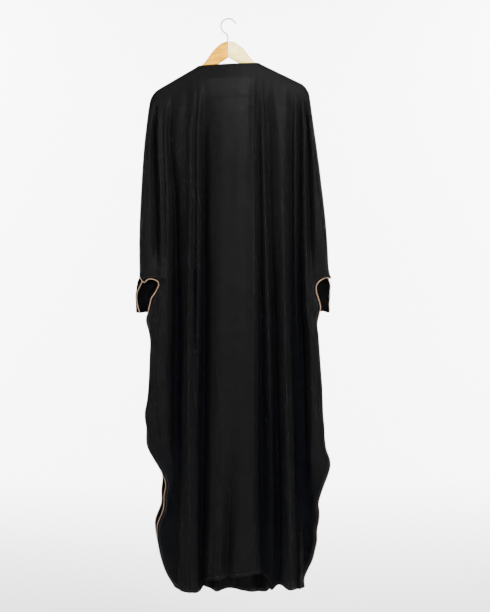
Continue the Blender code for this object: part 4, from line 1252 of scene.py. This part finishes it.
def black_cloth(name, alpha):
    """A fine crepe in black: crossed threads, soft crinkle, faint streaks, stitched edges.

    It has painted shade in the folds' hollows: a deeper black where their relief is low. A
    sheer cloth is a little less so below the yoke.
    """
    finish = Finish(
        name,
        Alpha=alpha,
        Sheen_Weight=CLOTH_SHEEN,
        Sheen_Roughness=0.42,
        Sheen_Tint=(0.93, 0.94, 1.0, 1.0),
        Specular_IOR_Level=CLOTH_SPECULAR,
    )
    whole = finish.map_place("cloth")
    across, along, _ = finish.parts(whole)
    streaks = finish.noise(finish.map_place("cloth", (190.0, 5.0, 1.0)))
    cross = finish.noise(finish.map_place("cloth", (9.0, 260.0, 1.0)), detail=2.0)
    crinkle = finish.noise(whole, 260.0, 4.0, 0.6)
    clouds = finish.noise(whole, 16.0, 3.0, 0.5)
    per_thread = 2 * math.pi / THREAD
    weave = (across * per_thread).wave() * (along * per_thread).wave()
    shade = (streaks - 0.5) * 0.1 + (cross - 0.5) * 0.06 + (clouds - 0.5) * 0.35 + weave * 0.04
    relief, _, _ = finish.parts(finish.map_place("hollow"))
    colour = finish.shaded(shade, CLOTH_DARK, CLOTH_LIGHT)
    # Painted shade: a deeper black where the folds' relief is low
    colour = finish.mix(relief.clear(*PAINTED_SHADE_FROM_TO), CLOTH_PAINTED_SHADE, colour)
    if alpha < 1:
        _, _, level = finish.parts(finish.object_place())
        finish.feed("Alpha", alpha + LESS_SHEER_BELOW * (1 - level.clear(*SHEER_FROM_TO)))
    distance, run, _ = finish.parts(finish.map_place("edge"))
    turned = 1 - distance.clear(*HEM_TURN)
    groove = 1 - (distance - STITCH_LINE).size().clear(*STITCH_GROOVE)
    on_stitch = run.rest(STITCH)
    thread = groove * (on_stitch.clear(*STITCH_STARTS) * (1 - on_stitch.clear(*STITCH_ENDS)))
    height = weave * 0.000004 + crinkle * 0.000006 + streaks * 0.000025 + cross * 0.00001
    height = height + turned * TURNING_RISE - groove * STITCH_DEPTH + thread * STITCH_RISE
    roughness = CLOTH_ROUGHNESS + (clouds - 0.5) * 0.12 + (streaks - 0.5) * 0.04 - thread * 0.08
    return finish.complete(finish.mix(thread, colour, THREAD_COLOUR), roughness, height, 0.75)


def painted_shade_cuff_finish(name):
    """The cuffs' doubled cloth: flat black crepe, hemmed at its end, with painted shade."""
    finish = Finish(name, Specular_IOR_Level=0.015, Sheen_Weight=0.002, Sheen_Roughness=0.5)
    distance, run, _ = finish.parts(finish.map_place("edge"))
    crinkle = finish.noise(finish.map_place("cloth"), 420.0)
    clouds = finish.noise(finish.map_place("cloth"), 30.0, 2.0)
    groove = 1 - (distance - CUFF_HEM).size().clear(*CUFF_GROOVE)
    # Painted shade: the cuffs' black is far darker than the garment's cloth
    colour = finish.shaded((crinkle - 0.5) * 0.4 + (clouds - 0.5) * 0.8, CUFF_PAINTED_SHADE_DARK, CUFF_PAINTED_SHADE_LIGHT)
    ribs = (run * (2 * math.pi / CUFF_RIB)).wave()
    height = crinkle * 0.00006 - groove * CUFF_GROOVE_DEPTH + ribs * 0.00001
    return finish.complete(colour, 0.62 + (clouds - 0.5) * 0.15, height, 0.8)


def tan_piping(name):
    """Bias-cut tan piping: twill ribs that wind round it, and slightly worn tops."""
    finish = Finish(name, Specular_IOR_Level=0.3, Sheen_Weight=0.2, Sheen_Roughness=0.5)
    around, along, _ = finish.parts(finish.map_place("cloth"))
    ribs = ((along + around * 0.9) * (2 * math.pi / PIPING_RIB)).wave()
    cords = ((along - around * 0.25) * (2 * math.pi / PIPING_CORD)).wave()
    mottle = finish.noise(finish.object_place(), 240.0)
    slow = finish.noise(finish.object_place(), 26.0, 2.0)
    shade = ribs * 0.16 + cords * 0.08 + (mottle - 0.5) * 0.7 + (slow - 0.5) * 0.8
    colour = finish.shaded(shade, TAN_DARK, TAN_LIGHT)
    height = ribs * 0.00005 + cords * 0.00006 + mottle * 0.00012
    return finish.complete(colour, 0.62 + (mottle - 0.5) * 0.2, height, 0.8)


def pale_wood(name, colours, lean):
    """Varnished pale wood: long grain that follows the arm, fine pores and a soft flame."""
    finish = Finish(name, Coat_Roughness=0.25, Specular_IOR_Level=0.06)
    turn = (0.0, lean, 0.0)
    grain = finish.noise(finish.object_place((7.0, 190.0, 150.0), turn), 1.0, 4.0, 0.6)
    flame = finish.noise(finish.object_place((2.2, 60.0, 46.0), turn), 1.0, 2.0, 0.4)
    pores = finish.noise(finish.object_place((60.0, 1500.0, 1300.0), turn), 1.0, 2.0)
    pits = 1 - pores.clear(0.30, 0.42)
    shade = (grain - 0.5) * 1.1 + (flame * 34.0).wave() * 0.16 - pits * 0.3
    finish.feed("Coat Weight", 0.04 + (grain - 0.5) * 0.03)
    roughness = 0.42 + (grain - 0.5) * 0.2 + pits * 0.1
    height = grain * 0.00012 - pits * 0.00008
    return finish.complete(finish.shaded(shade, *colours), roughness, height, 0.6)


def bright_wire(name):
    """Plated steel wire: drawn lines along it and small dull patches."""
    finish = Finish(name, Metallic=1.0)
    lines = finish.noise(finish.map_place("cloth", (2600.0, 20.0, 1.0)), 1.0, 2.0)
    patches = finish.noise(finish.object_place(), 210.0)
    colour = finish.mix(patches.clear(0.3, 0.75), WIRE_BRIGHT, WIRE_DULL)
    return finish.complete(colour, 0.22 + lines * 0.12 + patches * 0.12, lines, 0.6, 0.00003)


def plain_pale(name):
    """The plain floor and wall."""
    finish = Finish(name, Specular_IOR_Level=0.2, Roughness=0.85)
    slow = finish.noise(finish.object_place(), 1.3, 2.0)
    finish.feed("Base Color", finish.mix(slow, FLOOR_COLOUR, FLOOR_COLOUR_TOO))
    return finish.material


# The set

def floor_cove(material):
    """A round floor that curves up into a wall: a profile turned about the upright axis."""
    across = np.linspace(0, 2 * math.pi, FLOOR_SIDES, endpoint=False)
    flat = np.linspace(0.01, FLOOR_REACH - COVE_ROUND, FLOOR_RINGS)
    bend = np.linspace(0, math.pi / 2, COVE_RINGS)[1:]
    round_out = FLOOR_REACH - COVE_ROUND + COVE_ROUND * np.sin(bend)
    radius = np.concatenate([flat, round_out, [FLOOR_REACH]])[:, None]
    height = np.concatenate([0 * flat, COVE_ROUND * (1 - np.cos(bend)), [WALL_HEIGHT]])[:, None]
    cos, sin = np.cos(across), np.sin(across)
    rings = np.stack([radius * cos, radius * sin, height + FLOOR_Z + 0 * cos], axis=-1)
    index = np.arange(rings[:, :, 0].size).reshape(rings.shape[:2])
    faces = faces_round(index).tolist() + [index[0, ::-1].tolist()]
    made = smooth_mesh("floor", rings.reshape(-1, 3), faces, material)
    made.data.flip_normals()


def soft_light(name, place, aim, size, power, colour):
    """A square soft light at a place, turned to a point."""
    lamp = bpy.data.lights.new(name, "AREA")
    lamp.shape = "SQUARE"
    lamp.size = size
    lamp.energy = power
    lamp.color = colour
    made = placed(name, lamp)
    made.visible_camera = False
    place, aim = np.array(place), np.array(aim)
    back = unit(place - aim)
    side = unit(np.cross((0.0, 0.0, 1.0), back))
    matrix = np.eye(4)
    matrix[:3] = np.stack([side, np.cross(back, side), back, place], axis=-1)
    made.matrix_world = matrix.T.tolist()


def set_the_stage():
    """Camera at the photograph's angle, a plain pale room and soft lights."""
    camera = bpy.data.cameras.new("camera")
    camera.sensor_fit = "VERTICAL"
    camera.angle = 2 * math.atan(VIEW_HALF_HEIGHT / CAMERA_DISTANCE)
    stand = placed("camera", camera)
    stand.location = (VIEW_X, -CAMERA_DISTANCE, VIEW_Z)
    stand.rotation_euler = (math.pi / 2, 0.0, 0.0)
    bpy.context.scene.camera = stand

    world = bpy.data.worlds.new("pale room")
    world.use_nodes = True
    sky = world.node_tree.nodes["Background"]
    sky.inputs["Color"].default_value = (*ROOM_COLOUR, 1.0)
    sky.inputs["Strength"].default_value = ROOM_LIGHT
    bpy.context.scene.world = world

    floor_cove(plain_pale("plain pale floor"))
    for lamp in LAMPS:
        soft_light(*lamp)


# The garment

def dress(cloth, sheer, dull, tan):
    """The garment's pieces, each standing for its node; its list of sheets goes unused."""
    panel = back_panel()
    grid = panel[0]
    sides = [grid[int(np.argmax(grid[:, c, 2] < WRIST_Z)):, c] for c in (0, -1)]
    back = cloth_wall("back_cloth", panel, CLOTH, -CLOTH / 2, sheer, [*sides, grid[-1]])
    stands_for(back, "back")
    back_trim = [
        side_piping("back_" + word, panel, column, tan)
        for word, column in (("left", 0), ("right", -1))
    ]

    columns = np.abs(grid[0, :, 0]) < NECK_FREE - NECK_TURN
    part = [values[:FACING_ROWS, columns] for values in panel]
    lift = -CLOTH / 2 - SEAM_GAP - FACING
    facing = cloth_wall("neck_band", part, FACING, lift, cloth, [part[0][-1]])
    stands_for(facing, "neck_facing")
    sheets = [(back, back_trim), (facing, [])]

    for side, word in ((-1, "left"), (1, "right")):
        panel = front_panel(side)
        grid = panel[0]
        start = int(np.argmax(grid[:, 0, 2] < WRIST_Z))
        finished = [grid[start:, 0], grid[-1], grid[:, -1]]
        made = cloth_wall("front_cloth_" + word, panel, CLOTH, -CLOTH / 2, cloth, finished)
        stands_for(made, "front_" + word)
        trim = side_piping("front_" + word, panel, 0, tan)
        part = [values[BAND_TOP_ROW:, -BAND_COLUMNS - 1:] for values in panel]
        lift = CLOTH / 2 + SEAM_GAP
        band = cloth_wall("edge_band_" + word, part, FACING, lift, cloth, [part[0][:, 0]])
        stands_for(band, "front_band_" + word)
        sheets += [(made, [trim]), (band, [])]

    for word, side, rows, depth_y, turns in (
        ("left", -1, CUFF_LEFT, CUFF_LEFT_DEPTH, CUFF_SEAM_LEFT),
        ("right", 1, CUFF_RIGHT, CUFF_RIGHT_DEPTH, CUFF_SEAM_RIGHT),
    ):
        # dull is the cuffs' crepe, whose far darker black is painted shade
        made, outer = cuff("cuff_cloth_" + word, rows, side, depth_y, dull)
        stands_for(made, "cuff_" + word)
        trim = piping("cuff_" + word, cuff_seam_path(outer, rows, turns), tan)
        stands_for(trim, "cuff_piping_" + word)
        sheets.append((made, [trim]))


def dress_hanger(left_wood_painted_shade, right_wood_painted_light, wire):
    """The wooden halves, the bar and the hook, each standing for its node."""
    left = hanger_arm("hanger_arm_left", -1, left_wood_painted_shade)
    right = hanger_arm("hanger_arm_right", 1, right_wood_painted_light)
    axis = [(x, BAR_Y, BAR_Z + x * HANGER_TILT) for x in (-BAR_HALF, 0.0, BAR_HALF)]
    path = evenly(np.array(axis), BAR_STEP)
    bar = tube("hanger_rod", path, BAR_RADIUS, BAR_SIDES, right_wood_painted_light)
    hook = tube("hanger_wire", hook_path(), WIRE_RADIUS, WIRE_SIDES, wire)
    stands_for(left, "hanger_left")
    stands_for(right, "hanger_right")
    stands_for(bar, "hanger_bar")
    stands_for(hook, "hanger_hook")
    return [left, right]


def build():
    """The dressed garment on its hanger, in a plain pale room."""
    cloth = black_cloth("black crepe", 1.0)
    sheer = black_cloth("sheer black crepe", SHEER_ALPHA)
    tan = tan_piping("tan piping cloth")
    # One pale wood as two copies: the left half's painted shade, and the right half's and the
    # bar's painted light
    left_wood_painted_shade = pale_wood("varnished wood with painted shade", WOOD_PAINTED_SHADE, -GRAIN_LEAN)
    right_wood_painted_light = pale_wood("varnished wood with painted light", WOOD_PAINTED_LIGHT, GRAIN_LEAN)
    arms = dress_hanger(left_wood_painted_shade, right_wood_painted_light, bright_wire("plated wire"))
    dress(cloth, sheer, painted_shade_cuff_finish("cuff crepe with painted shade"), tan)
    set_the_stage()


build()
